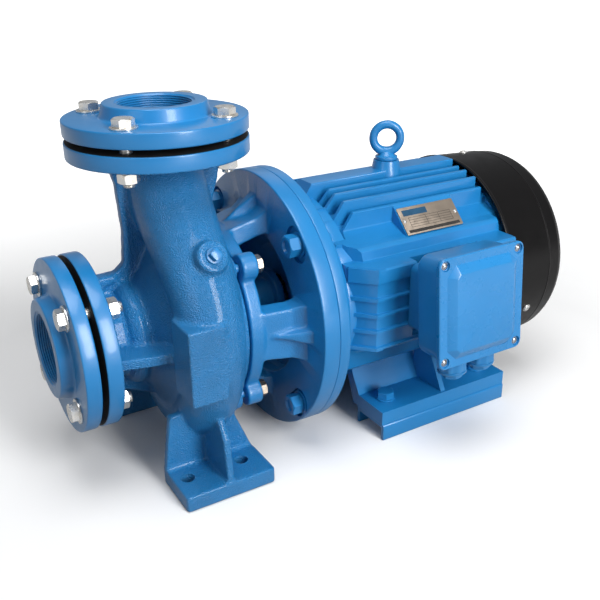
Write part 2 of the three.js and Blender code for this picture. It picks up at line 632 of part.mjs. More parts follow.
// ---------------------------------------------------------------- rotor
const shaftBlank = rev("x", [
  [-41, 0], [-41, 7], [-28.1, 7], [-28.1, 12], [67.2, 12], [67.2, 14], [118, 14],
  [118, 19], [146, 19], [146, 20], [186, 20], [186, 24], [336, 24], [336, 20],
  [FRAME_X1 - 2, 20], [FRAME_X1 - 2, 16], [446, 16], [446, 0],
], 16);
put("motor_shaft", cut(shaftBlank, box([-6.3, 16.3], [-2.7, 2.7], [8.4, 13])), "steel");
put("rotor_core", join(
  tube("x", 24.4, 61.3, CORE_X0 + 0.5, CORE_X1 - 0.5, 24),
  tube("x", 40, 56, 192, 201, 16),
  tube("x", 40, 56, 321, 330, 16),
), "lamination");
put("shaft_sleeve", join(
  tube("x", 14.4, 21.5, 67.3, 117.5, 16),
  tube("x", 19.4, 31, 116.5, 126, 16),
), "paint");

const fanBlade = box([411, 444], [-2, 2], [27, 102]);
put("cooling_fan", join(
  tube("x", 16.3, 28, 408, 446, 16),
  tube("x", 27, 100, 408, 412, 16),
  ...[0, 1, 2, 3, 4, 5].map((k) => fanBlade.rotate([60 * k, 0, 0])),
), "plastic");

// ---------------------------------------------------------------- fan cowl
function fanCowl() {
  const outside = rev("x", [
    [COWL_X0, 0], [COWL_X0, COWL_OPEN_R], [COWL_SEAM, COWL_END_R + 0.6],
    [COWL_SEAM + 3, COWL_END_R], [COWL_X1 - 8, COWL_END_R - 1.5],
    [COWL_X1 - 2.5, COWL_END_R - 4], [COWL_X1, COWL_END_R - 10], [COWL_X1, 0],
  ]);
  const inside = rev("x", [
    [COWL_X0 - 2, 0], [COWL_X0 - 2, COWL_OPEN_R - 2], [COWL_SEAM, COWL_END_R - 2],
    [COWL_X1 - 6, COWL_END_R - 4], [COWL_X1 - 2.5, COWL_END_R - 11], [COWL_X1 - 2.5, 0],
  ]);
  const slot = box([COWL_X1 - 8, COWL_X1 + 4], [-8, 8], [42, 100]);
  // seat that the cowl stands on, over the rear shield
  const seat = cut(
    box([COWL_X0 + 4, FRAME_X1 + 7.9], [-9, 9], [114.5, COWL_OPEN_R - 1]),
    box([COWL_X0, FRAME_X1 + 0.8], [-30, 30], [90, 122.8]),
  );
  const slots = Array.from({ length: 8 }, (_, k) => slot.rotate([45 * k, 0, 0]));
  const seats = [0, 120, 240].map((angle) => seat.rotate([angle, 0, 0]));
  return join(cut(outside, inside, ...slots), ...seats);
}
put("fan_cowl", fanCowl(), "black");

// ---------------------------------------------------------------- terminal box
// Local frame: x along the shaft, -y outwards, z up; origin inside the box.
const GLAND_X = [-20, 20];
const GLAND_Y = -12;
const terminalGroup = new THREE.Group();
terminalGroup.rotation.x = -THREE.MathUtils.degToRad(TERMINAL_TILT);
terminalGroup.position.set(...TERMINAL_AT);
shaftFrame.add(terminalGroup);

// (x, z) outline, two facets to a corner
function roundedRect(width, height, radius) {
  const corners = [[1, 1, 0], [-1, 1, 90], [-1, -1, 180], [1, -1, 270]];
  return corners.flatMap(([xSign, zSign, start]) => [0, 45, 90].map((turn) => {
    const angle = ((start + turn) * Math.PI) / 180;
    return [
      xSign * (width / 2 - radius) + radius * Math.cos(angle),
      zSign * (height / 2 - radius) + radius * Math.sin(angle),
    ];
  }));
}

function terminalBox() {
  // upright seat on the motor, brought into the tilted frame
  const seat = box([150, 400], [-132.4, -60], [-90, 140])
    .translate(TERMINAL_AT.map((v) => -v)).rotate([TERMINAL_TILT, 0, 0]);
  return cut(
    join(prism("y", roundedRect(106, 112, 14), -29, 6), prism("y", roundedRect(84, 76, 8), 4, 44)),
    seat,
    prism("y", roundedRect(98, 104, 11), -30, 2),
    prism("y", roundedRect(40, 40, 6), 0, 50),
    ...GLAND_X.map((x) => cyl("z", 9, -60, -48, [x, GLAND_Y])),
  );
}

function terminalCover() {
  // chamfered rectangle at y
  const face = (width, height, y, chamfer) => {
    const [w, h] = [width / 2, height / 2];
    return [
      [w, h - chamfer], [w - chamfer, h], [-w + chamfer, h], [-w, h - chamfer],
      [-w, -h + chamfer], [-w + chamfer, -h], [w - chamfer, -h], [w, -h + chamfer],
    ].map(([x, z]) => vec(x, y, z));
  };
  const lid = cut(
    prism("y", roundedRect(115, 121, 8), -36.3, -30.6),
    prism("y", roundedRect(96, 102, 10), -32.5, -30),
  );
  return join(lid, loft([face(96, 104, -36, 9), face(78, 86, -42, 5)]));
}

const terminalPins = [-22, 0, 22].flatMap((x) => [9, -9].map((z) => cyl("y", 3, -22, -9, [x, z])));
const cableGland = (x) => join(
  cyl("z", 8.8, -60, -50, [x, GLAND_Y]),
  cyl("z", 13, -74, -57.4, [x, GLAND_Y], 12),
  cyl("z", 16.5, -78, -73, [x, GLAND_Y], 12),
  hex("z", 20, -84, -77.5, [x, GLAND_Y], 0.2),
);
put("terminal_box", terminalBox(), "paint", terminalGroup);
put("terminal_box_cover", terminalCover(), "paint", terminalGroup);
put("terminal_block",
  join(box([-35, 35], [-10, 1.6], [-22, 22]), ...terminalPins), "plastic", terminalGroup);
GLAND_X.forEach((x, i) => put(`cable_gland_${i + 1}`, cableGland(x), "paint", terminalGroup));

// ---------------------------------------------------------------- nameplate and eye bolt
const plateGroup = new THREE.Group();
plateGroup.position.set(288.8, -83.8, 88.8);
plateGroup.rotation.x = THREE.MathUtils.degToRad(45);
shaftFrame.add(plateGroup);
put("nameplate", box([-40.3, 40.3], [-17.3, 17.3], [0, 1.2]), "plate", plateGroup);

function eyeBolt() {
  const across = vec(0.86, -0.51, 0); // in the plane of the eye
  const normal = vec(0.51, 0.86, 0);
  const centre = vec(EYE_X, 0, 164.6);
  const steps = 12;
  const sectionAt = (step) => {
    const angle = (2 * Math.PI * step) / steps - Math.PI / 2;
    const radial = across.clone().multiplyScalar(Math.cos(angle))
      .addScaledVector(vec(0, 0, 1), Math.sin(angle));
    return ring(centre.clone().addScaledVector(radial, 16), radial, normal, 5, 5, 6);
  };
  const openEye = loft(Array.from({ length: steps }, (_, i) => sectionAt(i)));
  const closing = loft([sectionAt(steps - 1.02), sectionAt(steps + 0.02)]);
  return join(
    cyl("z", 5.7, 126, 146, [EYE_X, 0]),
    cyl("z", 13, 139.2, 143.5, [EYE_X, 0], 12),
    cone("z", 10, 5.5, 143, 149, [EYE_X, 0], 8),
    openEye.add(closing),
  );
}
put("eye_bolt", eyeBolt(), "paint");

// ---------------------------------------------------------------- rails and foot bolts
// channel, open downwards
function motorRail(side) {
  const wall = 4.5;
  const y0 = FEET_Y0 - 0.5;
  const y1 = FEET_Y1 + 1.5;
  const top = FEET_BASE - 0.1;
  const section = [
    [y0, FLOOR], [y0 + wall, FLOOR], [y0 + wall, FEET_BASE - wall],
    [y1 - wall, FEET_BASE - wall], [y1 - wall, FLOOR], [y1, FLOOR], [y1, top], [y0, top],
  ];
  return cut(
    prism("x", forSide(side, section), FEET_X0 + 1, FEET_X1),
    ...FEET_HOLE_X.map((x) => cyl("z", 6.5, FLOOR, FEET_BASE + 1, [x, side * FEET_HOLE_Y])),
  );
}
put("motor_rail_left", motorRail(-1), "paint");
put("motor_rail_right", motorRail(1), "paint");

function footBolt(centre) {
  const seat = FEET_TOP + 0.1;
  return join(
    cyl("z", 6, FLOOR + 0.5, seat + 2, centre),
    cyl("z", 11, seat, seat + 2, centre, 8),
    hex("z", 18, seat + 1.8, seat + 10, centre, 0.2),
    hex("z", 19, FEET_BASE - 14.6, FEET_BASE - 4.6, centre, 0.2),
  );
}
SIDES.flatMap((side) => FEET_HOLE_X.map((x) => [x, side * FEET_HOLE_Y]))
  .forEach((centre, i) => put(`foot_bolt_${i + 1}`, footBolt(centre), "paint"));

// ---------------------------------------------------------------- origin on the floor
shaftFrame.updateMatrixWorld(true);
const bounds = new THREE.Box3().setFromObject(shaftFrame, true);
const toMiddle = (low, high) => -Math.round(((low + high) / 2) * 100) / 100;
shaftFrame.position.set(
  toMiddle(bounds.min.x, bounds.max.x),
  toMiddle(bounds.min.y, bounds.max.y),
  SHAFT_HEIGHT,
);
export default root;
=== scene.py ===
# Close-coupled centrifugal pump and its electric motor, on two rails over a studio floor.
# Pieces are built in millimetres in the shaft frame: X runs along the shaft from the suction
# flange (-X) to the fan cowl (+X), Z is up, and the origin is where the shaft axis meets the
# discharge centreline. Each finished piece is then moved to the row frame, in metres.
import math
import bpy
import bmesh
import numpy as np
from mathutils import Matrix, Vector


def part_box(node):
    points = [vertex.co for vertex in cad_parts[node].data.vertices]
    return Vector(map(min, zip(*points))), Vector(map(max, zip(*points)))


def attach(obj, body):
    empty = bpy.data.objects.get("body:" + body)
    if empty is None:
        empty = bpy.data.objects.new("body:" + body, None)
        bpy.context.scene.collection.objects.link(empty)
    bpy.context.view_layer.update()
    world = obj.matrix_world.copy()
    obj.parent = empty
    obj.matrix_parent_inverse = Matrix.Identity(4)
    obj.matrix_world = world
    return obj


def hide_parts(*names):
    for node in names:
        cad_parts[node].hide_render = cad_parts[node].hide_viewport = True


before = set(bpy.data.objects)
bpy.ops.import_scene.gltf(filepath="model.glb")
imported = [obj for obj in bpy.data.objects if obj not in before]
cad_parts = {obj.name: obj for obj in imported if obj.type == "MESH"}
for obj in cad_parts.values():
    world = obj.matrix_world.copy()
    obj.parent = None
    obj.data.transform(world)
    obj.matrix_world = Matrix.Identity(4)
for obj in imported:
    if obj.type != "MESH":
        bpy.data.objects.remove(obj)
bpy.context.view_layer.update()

# Origin of the shaft frame in the row frame, in millimetres
low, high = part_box("rotor_core")
ORIGIN_Y, ORIGIN_Z = (low.y + high.y) * 500, (low.z + high.z) * 500
low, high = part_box("discharge_companion_flange")
ORIGIN_X = (low.x + high.x) * 500
TO_ROW = (Matrix.Translation((ORIGIN_X / 1000, ORIGIN_Y / 1000, ORIGIN_Z / 1000))
          @ Matrix.Scale(0.001, 4))
FIXED, ROTOR = "pump_set", "rotor"
scene = bpy.context.scene

# ------------------------------------------------------------------ shared dimensions
FLANGE_R, FLANGE_T, FLANGE_PCD = 92.5, 16, 145
RAISED_R = 60                        # raised gasket face
DISCHARGE_TOP, SUCTION_FACE = 202, -105
FLANGE_GAP = 6.5                     # between casing flange and companion flange
COMPANION_T = 15.5
HUB_R, HUB_H, BORE_R = 52, 13.5, 37.6
NOZZLE_R = 32.5
STUD_R, MOTOR_BOLT_R = 104, 132.5    # bolt circles at the two ends of the lantern bracket
MOTOR_FLANGE_R = 150
BASE_Z = -152                        # underside of the pump feet and of the rails
MOTOR_FOOT_X, MOTOR_FOOT_Y = (215.5, 355.5), 108
FRAME_START, FRAME_END = 160, 388
EYE_X = 287
# name, axis, gasket face, outward direction
FLANGES = (("discharge", "z", DISCHARGE_TOP, 1), ("suction", "x", SUCTION_FACE, -1))

# ------------------------------------------------------------------ shells: (vertices, faces)
ZERO = (0, 0, 0)
# side, up and along vectors of each axis
FRAMES = {"x": ((0, 1, 0), (0, 0, 1), (1, 0, 0)),
          "y": ((0, 0, 1), (1, 0, 0), (0, 1, 0)),
          "z": ((1, 0, 0), (0, 1, 0), (0, 0, 1))}


def axes(axis):
    """Side, up and along vectors for an axis letter or a direction."""
    if isinstance(axis, str):
        return [np.array(v, float) for v in FRAMES[axis]]
    along = np.array(axis, float)
    along /= np.linalg.norm(along)
    side = np.cross((0, 0, 1) if abs(along[2]) < 0.9 else (1, 0, 0), along)
    side /= np.linalg.norm(side)
    return [side, np.cross(along, side), along]


def full_turn(count):
    return np.linspace(0, 2 * math.pi, count, endpoint=False)


def diagonals(radius):
    """Four points at 45 degrees on a circle."""
    k = radius * math.sqrt(0.5)
    return [(-k, -k), (k, -k), (k, k), (-k, k)]


def rect(x0, x1, y0, y1):
    return [(x0, y0), (x1, y0), (x1, y1), (x0, y1)]


def mirrored(points, side):
    return [(side * p[0],) + tuple(p[1:]) for p in points]


def flange_point(axis, first, second, along=0):
    """A point from its two places across a flange axis, z or x, and one along it."""
    return (first, second, along) if axis == "z" else (along, first, second)


def rounded(points, radius, steps=3, closed=True):
    """Rounds the corners of an outline; a point may carry its own radius as a third value."""
    outline, count = [], len(points)
    for i in range(count):
        corner = np.array(points[i][:2], float)
        size = points[i][2] if len(points[i]) > 2 else radius
        if size <= 0 or (not closed and i in (0, count - 1)):
            outline.append(corner)
            continue
        back = np.array(points[i - 1][:2]) - corner
        ahead = np.array(points[(i + 1) % count][:2]) - corner
        back_len, ahead_len = np.linalg.norm(back), np.linalg.norm(ahead)
        if min(back_len, ahead_len) < 1e-6:
            continue
        angle = math.acos(max(-1, min(1, float(back @ ahead) / back_len / ahead_len)))
        if angle > math.pi - 0.04:
            outline.append(corner)
            continue
        trim = min(size / math.tan(angle / 2), 0.46 * back_len, 0.46 * ahead_len)
        start, end = corner + back / back_len * trim, corner + ahead / ahead_len * trim
        for k in range(steps + 1):
            s = k / steps
            outline.append((1 - s) ** 2 * start + 2 * s * (1 - s) * corner + s * s * end)
    return outline


def merged(*shells):
    vertices, faces, offset = [], [], 0
    for shell_vertices, shell_faces in shells:
        vertices.append(np.asarray(shell_vertices, float).reshape(-1, 3))
        faces += [tuple(i + offset for i in face) for face in shell_faces]
        offset += len(vertices[-1])
    return np.concatenate(vertices), faces


def moved(shell, shift):
    return np.asarray(shell[0]) + np.array(shift, float), shell[1]


def transformed(shell, matrix):
    rows = np.array(matrix)
    return np.asarray(shell[0], float) @ rows[:3, :3].T + rows[:3, 3], shell[1]


def turned_x(shell, degrees):
    return transformed(shell, Matrix.Rotation(math.radians(degrees), 4, "X"))


def placed(shell, origin, axis, spin=0.0):
    """Puts a shell built along +z at origin, pointing along axis."""
    side, up, along = axes(axis)
    cos, sin = math.cos(spin), math.sin(spin)
    turn = np.stack([side * cos + up * sin, -side * sin + up * cos, along], 1)
    return np.asarray(shell[0]) @ turn.T + np.array(origin, float), shell[1]


def skin(rings, wrap=False):
    """Joins rings of the same number of points; a ring of one point is a pole."""
    vertices, index, faces = [], [], []
    count = max(len(ring) for ring in rings)
    for ring in rings:
        first = len(vertices)
        index.append([first] * count if len(ring) == 1 else list(range(first, first + count)))
        vertices += [np.array(p, float) for p in ring]
    for i in range(len(rings) if wrap else len(rings) - 1):
        here, there = index[i], index[(i + 1) % len(rings)]
        for j in range(count):
            k = (j + 1) % count
            quad = [here[j], here[k], there[k], there[j]]
            face = [quad[n] for n in range(4) if quad[n] != quad[n - 1]]
            if len(face) > 2:
                faces.append(tuple(face))
    if not wrap:
        if len(set(index[0])) > 1:
            faces.append(tuple(reversed(index[0])))
        if len(set(index[-1])) > 1:
            faces.append(tuple(index[-1]))
    return np.array(vertices), faces


def lathe(profile, axis="x", segments=128, origin=ZERO, radius=0, steps=3):
    """Turns (along, radius[, corner radius]) points; a profile from the axis makes a solid."""
    side, up, along = axes(axis)
    origin = np.array(origin, float)
    rings = []
    for x, r in rounded(profile, radius, steps, closed=profile[0][1] > 0):
        if r < 1e-6:
            rings.append([origin + along * x])
        else:
            rings.append([origin + along * x + side * r * math.cos(a) + up * r * math.sin(a)
                          for a in full_turn(segments)])
    solid = len(rings[0]) == 1 and len(rings[-1]) == 1
    return skin(rings, wrap=not solid)


def rod(axis, radius, start, end, origin=ZERO, segments=48, edge=0.6, steps=2):
    profile = [(start, 0), (start, radius), (end, radius), (end, 0)]
    return lathe(profile, axis, segments, origin, edge, steps)


def drill(axis, radius, start, end, origin=ZERO, segments=32):
    """A sharp-edged cylinder, for cutting."""
    return rod(axis, radius, start, end, origin, segments, edge=0)


def tube(axis, inner, outer, start, end, origin=ZERO, segments=128, edge=0.5):
    profile = [(start, inner), (start, outer), (end, outer), (end, inner)]
    return lathe(profile, axis, segments, origin, edge, 2)


def prism(points, axis, start, end, radius=0, steps=3):
    """An outline in (Y,Z) for x, (X,Z) for y, (X,Y) for z, pushed from start to end."""
    def lift(p, h):
        return {"x": (h, p[0], p[1]), "y": (p[0], h, p[1]), "z": (p[0], p[1], h)}[axis]
    outline = rounded(points, radius, steps)
    return skin([[lift(p, h) for p in outline] for h in (start, end)])


def block(x0, x1, y0, y1, z0, z1):
    return prism(rect(x0, x1, y0, y1), "z", z0, z1)


def hexagon(flats, height, corner=0.93, both=False, dimple=0.0):
    """Hexagon from z 0 to height, corners turned on the top or both ends, dimple optional."""
    count = 72
    angles = full_turn(count)
    outer = flats / 2 / np.cos(np.mod(angles, math.pi / 3) - math.pi / 6)
    inner = flats / 2 * corner
    drop = (outer - inner) * math.tan(math.radians(30))
    flat, ones = np.zeros(count), np.ones(count)

    def ring(r, z):
        return [(r[i] * math.cos(angles[i]), r[i] * math.sin(angles[i]), z[i])
                for i in range(count)]
    rows = [[ZERO]]
    if both:
        rows += [ring(ones * inner, flat), ring(outer, drop)]
    else:
        rows += [ring(outer - 0.25, flat), ring(outer, flat + 0.3)]
    rows += [ring(outer, height - drop), ring(ones * inner, flat + height)]
    if dimple:
        rows += [ring(ones * inner * 0.72, flat + height)]
        rows += [ring(ones * inner * 0.6, flat + height - dimple)]
        rows += [[(0, 0, height - dimple * 1.15)]]
    else:
        rows += [[(0, 0, height)]]
    return skin(rows)


def thread_wave(z, angle, pitch):
    return abs(2 * ((z / pitch - angle / 2 / math.pi) % 1.0) - 1)


def thread(radius, pitch, start, end):
    """Threaded rod along z, with a chamfered end at start and a plain cut at end."""
    rows_per_pitch, lead = 5, 0.6
    depth = pitch * 0.55
    rows = int((end - start) / pitch * rows_per_pitch)
    angles = full_turn(40)

    def ring(z, radii):
        return [(r * math.cos(a), r * math.sin(a), z) for r, a in zip(radii, angles)]
    rings = [[(0, 0, start)], ring(start, [radius - depth] * len(angles))]
    for i in range(rows + 1):
        z = start + lead + (end - start - lead) * i / rows
        rings.append(ring(z, [radius - depth * thread_wave(z, a, pitch) for a in angles]))
    return skin(rings + [[(0, 0, end)]])


def bore_thread(radius, pitch, start, end, axis):
    """A threaded sleeve, plain on the outside."""
    depth, wall, rows_per_pitch = 1.25, 2.2, 6
    side, up, along = axes(axis)
    rows = int((end - start) / pitch * rows_per_pitch)
    angles = full_turn(112)

    def ring(z, size):
        return [along * z + (side * math.cos(a) + up * math.sin(a)) * size(a) for a in angles]
    rings = [ring(z, lambda a: radius + wall) for z in (end, start)]
    for i in range(rows + 1):
        z = start + (end - start) * i / rows
        rings.append(ring(z, lambda a: radius - depth * thread_wave(z, a, pitch)))
    return skin(rings, wrap=True)


# ------------------------------------------------------------------ Blender objects, still in mm
def to_object(shell):
    mesh = bpy.data.meshes.new("tmp")
    mesh.from_pydata([tuple(p) for p in shell[0]], [], shell[1])
    mesh.update()
    target = bpy.data.objects.new("tmp", mesh)
    scene.collection.objects.link(target)
    bm = bmesh.new()
    bm.from_mesh(mesh)
    bmesh.ops.remove_doubles(bm, verts=bm.verts, dist=1e-4)
    bmesh.ops.recalc_face_normals(bm, faces=bm.faces)
    bm.to_mesh(mesh)
    bm.free()
    return target


def modify(target, kind, **settings):
    modifier = target.modifiers.new(kind, kind)
    for key, value in settings.items():
        setattr(modifier, key, value)


def bake(target):
    """Replaces the mesh with the result of its modifiers."""
    depsgraph = bpy.context.evaluated_depsgraph_get()
    depsgraph.update()
    mesh = bpy.data.meshes.new_from_object(target.evaluated_get(depsgraph))
    target.modifiers.clear()
    old, target.data = target.data, mesh
    bpy.data.meshes.remove(old)
    return target


def boolean(target, tools, operation="DIFFERENCE"):
    """Applies each tool with the fast solver, or the exact one if that loses the mesh."""
    for tool in tools:
        tool = to_object(tool) if isinstance(tool, tuple) else tool
        before = len(target.data.polygons)
        backup = target.data.copy()
        modify(target, "BOOLEAN", operation=operation, object=tool, solver="MANIFOLD")
        bake(target)
        if len(target.data.polygons) < max(4, before * 0.2):
            target.data = backup
            modify(target, "BOOLEAN", operation=operation, object=tool, solver="EXACT")
            bake(target)
        bpy.data.objects.remove(tool)
    return target


def bevel(target, width, angle=50):
    modify(target, "BEVEL", width=width, segments=2, limit_method="ANGLE",
           angle_limit=math.radians(angle), use_clamp_overlap=True)
    return bake(target)


def cast(shells, voxel, fillet):
    """One casting from overlapping closed shells, with filleted inside corners."""
    target = to_object(merged(*shells))

    def remesh(size):
        modify(target, "REMESH", mode="VOXEL", voxel_size=size, adaptivity=0)
        bake(target)

    def swell(amount):
        modify(target, "DISPLACE", strength=amount, mid_level=0, direction="NORMAL")
    remesh(voxel)
    # growing and shrinking again fills the inside corners
    swell(fillet)
    remesh(voxel * 1.1)
    swell(-fillet)
    remesh(voxel)
    modify(target, "SMOOTH", factor=0.5, iterations=3)
    return bake(target)


def refinish(target, material, test):
    """Gives the faces that pass the test another finish; it takes shaft-frame millimetres."""
    target.data.materials.append(material)
    for face in target.data.polygons:
        c = face.center
        if test(c.x * 1000 - ORIGIN_X, c.y * 1000 - ORIGIN_Y, c.z * 1000 - ORIGIN_Z):
            face.material_index = len(target.data.materials) - 1


def piece(shape, name, material, slot=None, body=FIXED, part=None, sharp=36):
    """Finishes a shape in mm: names it, moves it to the row frame and attaches it to its body."""
    target = to_object(shape) if isinstance(shape, tuple) else shape
    target.name = name
    target.data.name = name
    target.data.transform(TO_ROW)
    target.data.shade_smooth()
    target.data.set_sharp_from_angle(angle=math.radians(sharp))
    target.data.materials.clear()
    target.data.materials.append(material)
    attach(target, body)
    if part:
        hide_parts(part)
    return target


def stand_in(shape, part, material, **options):
    """A piece that replaces the CAD part of that name."""
    return piece(shape, part + "_visual", material, part=part, **options)


# ------------------------------------------------------------------ shader helpers
def new_shader(name):
    material = bpy.data.materials.new(name)
    material.use_nodes = True
    tree = material.node_tree
    return material, tree, tree.nodes["Principled BSDF"]


def feed(tree, value, socket):
    """Links an output to a socket, or sets the socket to a number or a colour."""
    if hasattr(value, "links"):
        tree.links.new(value, socket)
    else:
        socket.default_value = (*value, 1) if isinstance(value, tuple) else value


def mix(tree, factor, first, second):
    node = tree.nodes.new("ShaderNodeMix")
    node.data_type = "RGBA"
    for index, value in ((0, factor), (6, first), (7, second)):
        feed(tree, value, node.inputs[index])
    return node.outputs[2]


def noise(tree, scale, detail=3, roughness=0.5, stretch=None):
    place = tree.nodes.new("ShaderNodeTexCoord").outputs["Object"]
    if stretch:
        mapping = tree.nodes.new("ShaderNodeMapping")
        mapping.inputs["Scale"].default_value = stretch
        feed(tree, place, mapping.inputs[0])
        place = mapping.outputs[0]
    node = tree.nodes.new("ShaderNodeTexNoise")
    node.inputs["Scale"].default_value = scale
    node.inputs["Detail"].default_value = detail
    node.inputs["Roughness"].default_value = roughness
    feed(tree, place, node.inputs["Vector"])
    return node.outputs[0]


def pebbles(tree, scale):
    node = tree.nodes.new("ShaderNodeTexVoronoi")
    node.feature = "SMOOTH_F1"
    node.inputs["Scale"].default_value = scale
    node.inputs["Smoothness"].default_value = 0.6
    place = tree.nodes.new("ShaderNodeTexCoord").outputs["Object"]
    feed(tree, place, node.inputs["Vector"])
    return node.outputs["Distance"]


def remap(tree, source, between, to=(0, 1)):
    node = tree.nodes.new("ShaderNodeMapRange")
    for index, value in enumerate((*between, *to), 1):
        node.inputs[index].default_value = value
    feed(tree, source, node.inputs[0])
    return node.outputs[0]


def maths(tree, operation, first, second):
    node = tree.nodes.new("ShaderNodeMath")
    node.operation = operation
    feed(tree, first, node.inputs[0])
    feed(tree, second, node.inputs[1])
    return node.outputs[0]


def bump(tree, surface, *layers):
    """Stacks bump layers of (height, strength, distance)."""
    normal = None
    for height, strength, distance in layers:
        node = tree.nodes.new("ShaderNodeBump")
        node.inputs["Strength"].default_value = strength
        node.inputs["Distance"].default_value = distance
        feed(tree, height, node.inputs["Height"])
        if normal is not None:
            feed(tree, normal, node.inputs["Normal"])
        normal = node.outputs[0]
    feed(tree, normal, surface.inputs["Normal"])


def pointiness(tree):
    return tree.nodes.new("ShaderNodeNewGeometry").outputs["Pointiness"]


def shade(colour, factor, lift=0):
    return tuple(min(1, c * factor + lift) for c in colour)


# ------------------------------------------------------------------ materials
def paint(name, colour, grain, roughness):
    """Enamel. A grain of 0 is smooth sheet or turned metal, 1 is sand-cast iron under paint."""
    material, tree, surface = new_shader(name)
    spread = 0.04 + 0.08 * grain
    mottle = remap(tree, noise(tree, scale=14, detail=4, roughness=0.6), between=(0.35, 0.68))
    tone = mix(tree, mottle, shade(colour, 1 - spread), shade(colour, 1 + spread))
    if grain > 0:
        # dark specks, then lighter raised edges that are dust with a painted highlight, then
        # painted shade that darkens the corners
        specks = noise(tree, scale=160, roughness=0.6)
        specks = remap(tree, specks, between=(0.62, 0.75), to=(0, 0.2))
        tone = mix(tree, specks, tone, shade(colour, 0.7))
        # lighter raised edges: dust together with a painted highlight
        edge_dust_and_highlight = remap(tree, pointiness(tree), between=(0.53, 0.62), to=(0, 0.175))
        tone = mix(tree, edge_dust_and_highlight, tone, shade(colour, 1, lift=0.09))
        # painted shade: darker corners and creases
        painted_crease_shade = remap(tree, pointiness(tree), between=(0.475, 0.42), to=(0, 0.4))
        tone = mix(tree, painted_crease_shade, tone, shade(colour, 0.5))
    feed(tree, tone, surface.inputs["Base Color"])
    gloss = remap(tree, noise(tree, scale=55), between=(0.3, 0.7),
                  to=(roughness - 0.04, roughness + 0.05))
    feed(tree, gloss, surface.inputs["Roughness"])
    surface.inputs["Coat Weight"].default_value = 0.3
    surface.inputs["Coat Roughness"].default_value = 0.12
    surface.inputs["IOR"].default_value = 1.5
    if grain > 0:
        sand = maths(tree, "ADD", remap(tree, pebbles(tree, scale=820), between=(0.0, 0.7)),
                     maths(tree, "MULTIPLY", noise(tree, scale=640, roughness=0.55), 1.2))
        bump(tree, surface, (noise(tree, scale=60), 0.22 * grain, 0.0016),
             (sand, 0.9 * grain, 0.0011))
    else:
        bump(tree, surface, (noise(tree, scale=90, detail=2), 0.06, 0.0006),
             (noise(tree, scale=620, detail=2), 0.05, 0.0002))
    return material


def metal(name, colour, roughness, scale, stretch=None, spread=0.12, tint=None, depth=0.0002,
          metallic=1.0):
    """Bare metal; stretch draws out its fine scratches, tint adds patches of a second colour."""
    material, tree, surface = new_shader(name)
    mottle = remap(tree, noise(tree, scale=40, detail=4, roughness=0.6), between=(0.3, 0.7))
    tone = mix(tree, mottle, shade(colour, 1 - spread), colour)
    if tint:
        patches = remap(tree, noise(tree, scale=70, roughness=0.6), between=(0.45, 0.62),
                        to=(0, 0.75))
        tone = mix(tree, patches, tone, tint)
    feed(tree, tone, surface.inputs["Base Color"])
    surface.inputs["Metallic"].default_value = metallic
    gloss = remap(tree, noise(tree, scale=120), between=(0.3, 0.7),
                  to=(roughness - 0.07, roughness + 0.09))
    feed(tree, gloss, surface.inputs["Roughness"])
    bump(tree, surface, (noise(tree, scale, roughness=0.6, stretch=stretch), 0.25, depth))
    return material


def plain(name, colour, roughness, scale, depth=0.0002):
    """Rubber, plastic, ceramic or print."""
    material, tree, surface = new_shader(name)
    mottle = remap(tree, noise(tree, scale=60, detail=4, roughness=0.6), between=(0.3, 0.7))
    tone = mix(tree, mottle, shade(colour, 0.75), shade(colour, 1.25))
    feed(tree, tone, surface.inputs["Base Color"])
    gloss = remap(tree, noise(tree, scale=90), between=(0.3, 0.7),
                  to=(roughness - 0.08, roughness + 0.08))
    feed(tree, gloss, surface.inputs["Roughness"])
    bump(tree, surface, (noise(tree, scale), 0.3, depth))
    return material


BLUE = (0.010, 0.190, 0.470)
CAST = paint("cast_blue_paint", BLUE, grain=1.0, roughness=0.33)
LIGHT_CAST = paint("light_cast_blue_paint", BLUE, grain=0.26, roughness=0.33)
SMOOTH = paint("smooth_blue_paint", BLUE, grain=0.0, roughness=0.34)
COVER = paint("box_blue_paint", (0.014, 0.205, 0.500), grain=0.0, roughness=0.28)
BLACK = paint("black_cowl_paint", (0.0040, 0.0036, 0.0037), grain=0.0, roughness=0.36)
black_inputs = BLACK.node_tree.nodes["Principled BSDF"].inputs
black_inputs["Specular IOR Level"].default_value = 0.14
black_inputs["Coat Weight"].default_value = 0.1
ZINC = metal("zinc_steel", (0.74, 0.74, 0.73), roughness=0.28, scale=700, spread=0.08,
             tint=(0.76, 0.71, 0.62), metallic=0.88)
WARM_ZINC = metal("zinc_steel_warm", (0.80, 0.66, 0.52), roughness=0.28, scale=700, spread=0.2,
                  tint=(0.78, 0.72, 0.62))
STEEL = metal("machined_steel", (0.52, 0.53, 0.55), roughness=0.25, scale=900,
              stretch=(0.06, 1, 1))
IRON = metal("bare_cast_iron", (0.16, 0.16, 0.165), roughness=0.55, scale=420, spread=0.25,
             depth=0.0006, metallic=0.8)
LAMINATED = metal("laminated_steel", (0.33, 0.34, 0.36), roughness=0.4, scale=1400,
                  stretch=(1, 0.02, 0.02), spread=0.2)
COPPER = metal("copper_winding", (0.55, 0.20, 0.07), roughness=0.35, scale=600,
               stretch=(0.15, 1, 1), spread=0.35, depth=0.0008)
BRONZE = metal("bronze", (0.50, 0.33, 0.13), roughness=0.34, scale=500, spread=0.2, depth=0.0003)
PLATE = metal("nameplate_metal", (0.43, 0.355, 0.285), roughness=0.36, scale=1500,
              stretch=(0.03, 1, 1), spread=0.1, depth=0.0001, metallic=0.75)
RUBBER = plain("rubber_seal", (0.014, 0.014, 0.015), roughness=0.75, scale=800)
PLASTIC = plain("black_plastic", (0.02, 0.02, 0.022), roughness=0.5, scale=900)
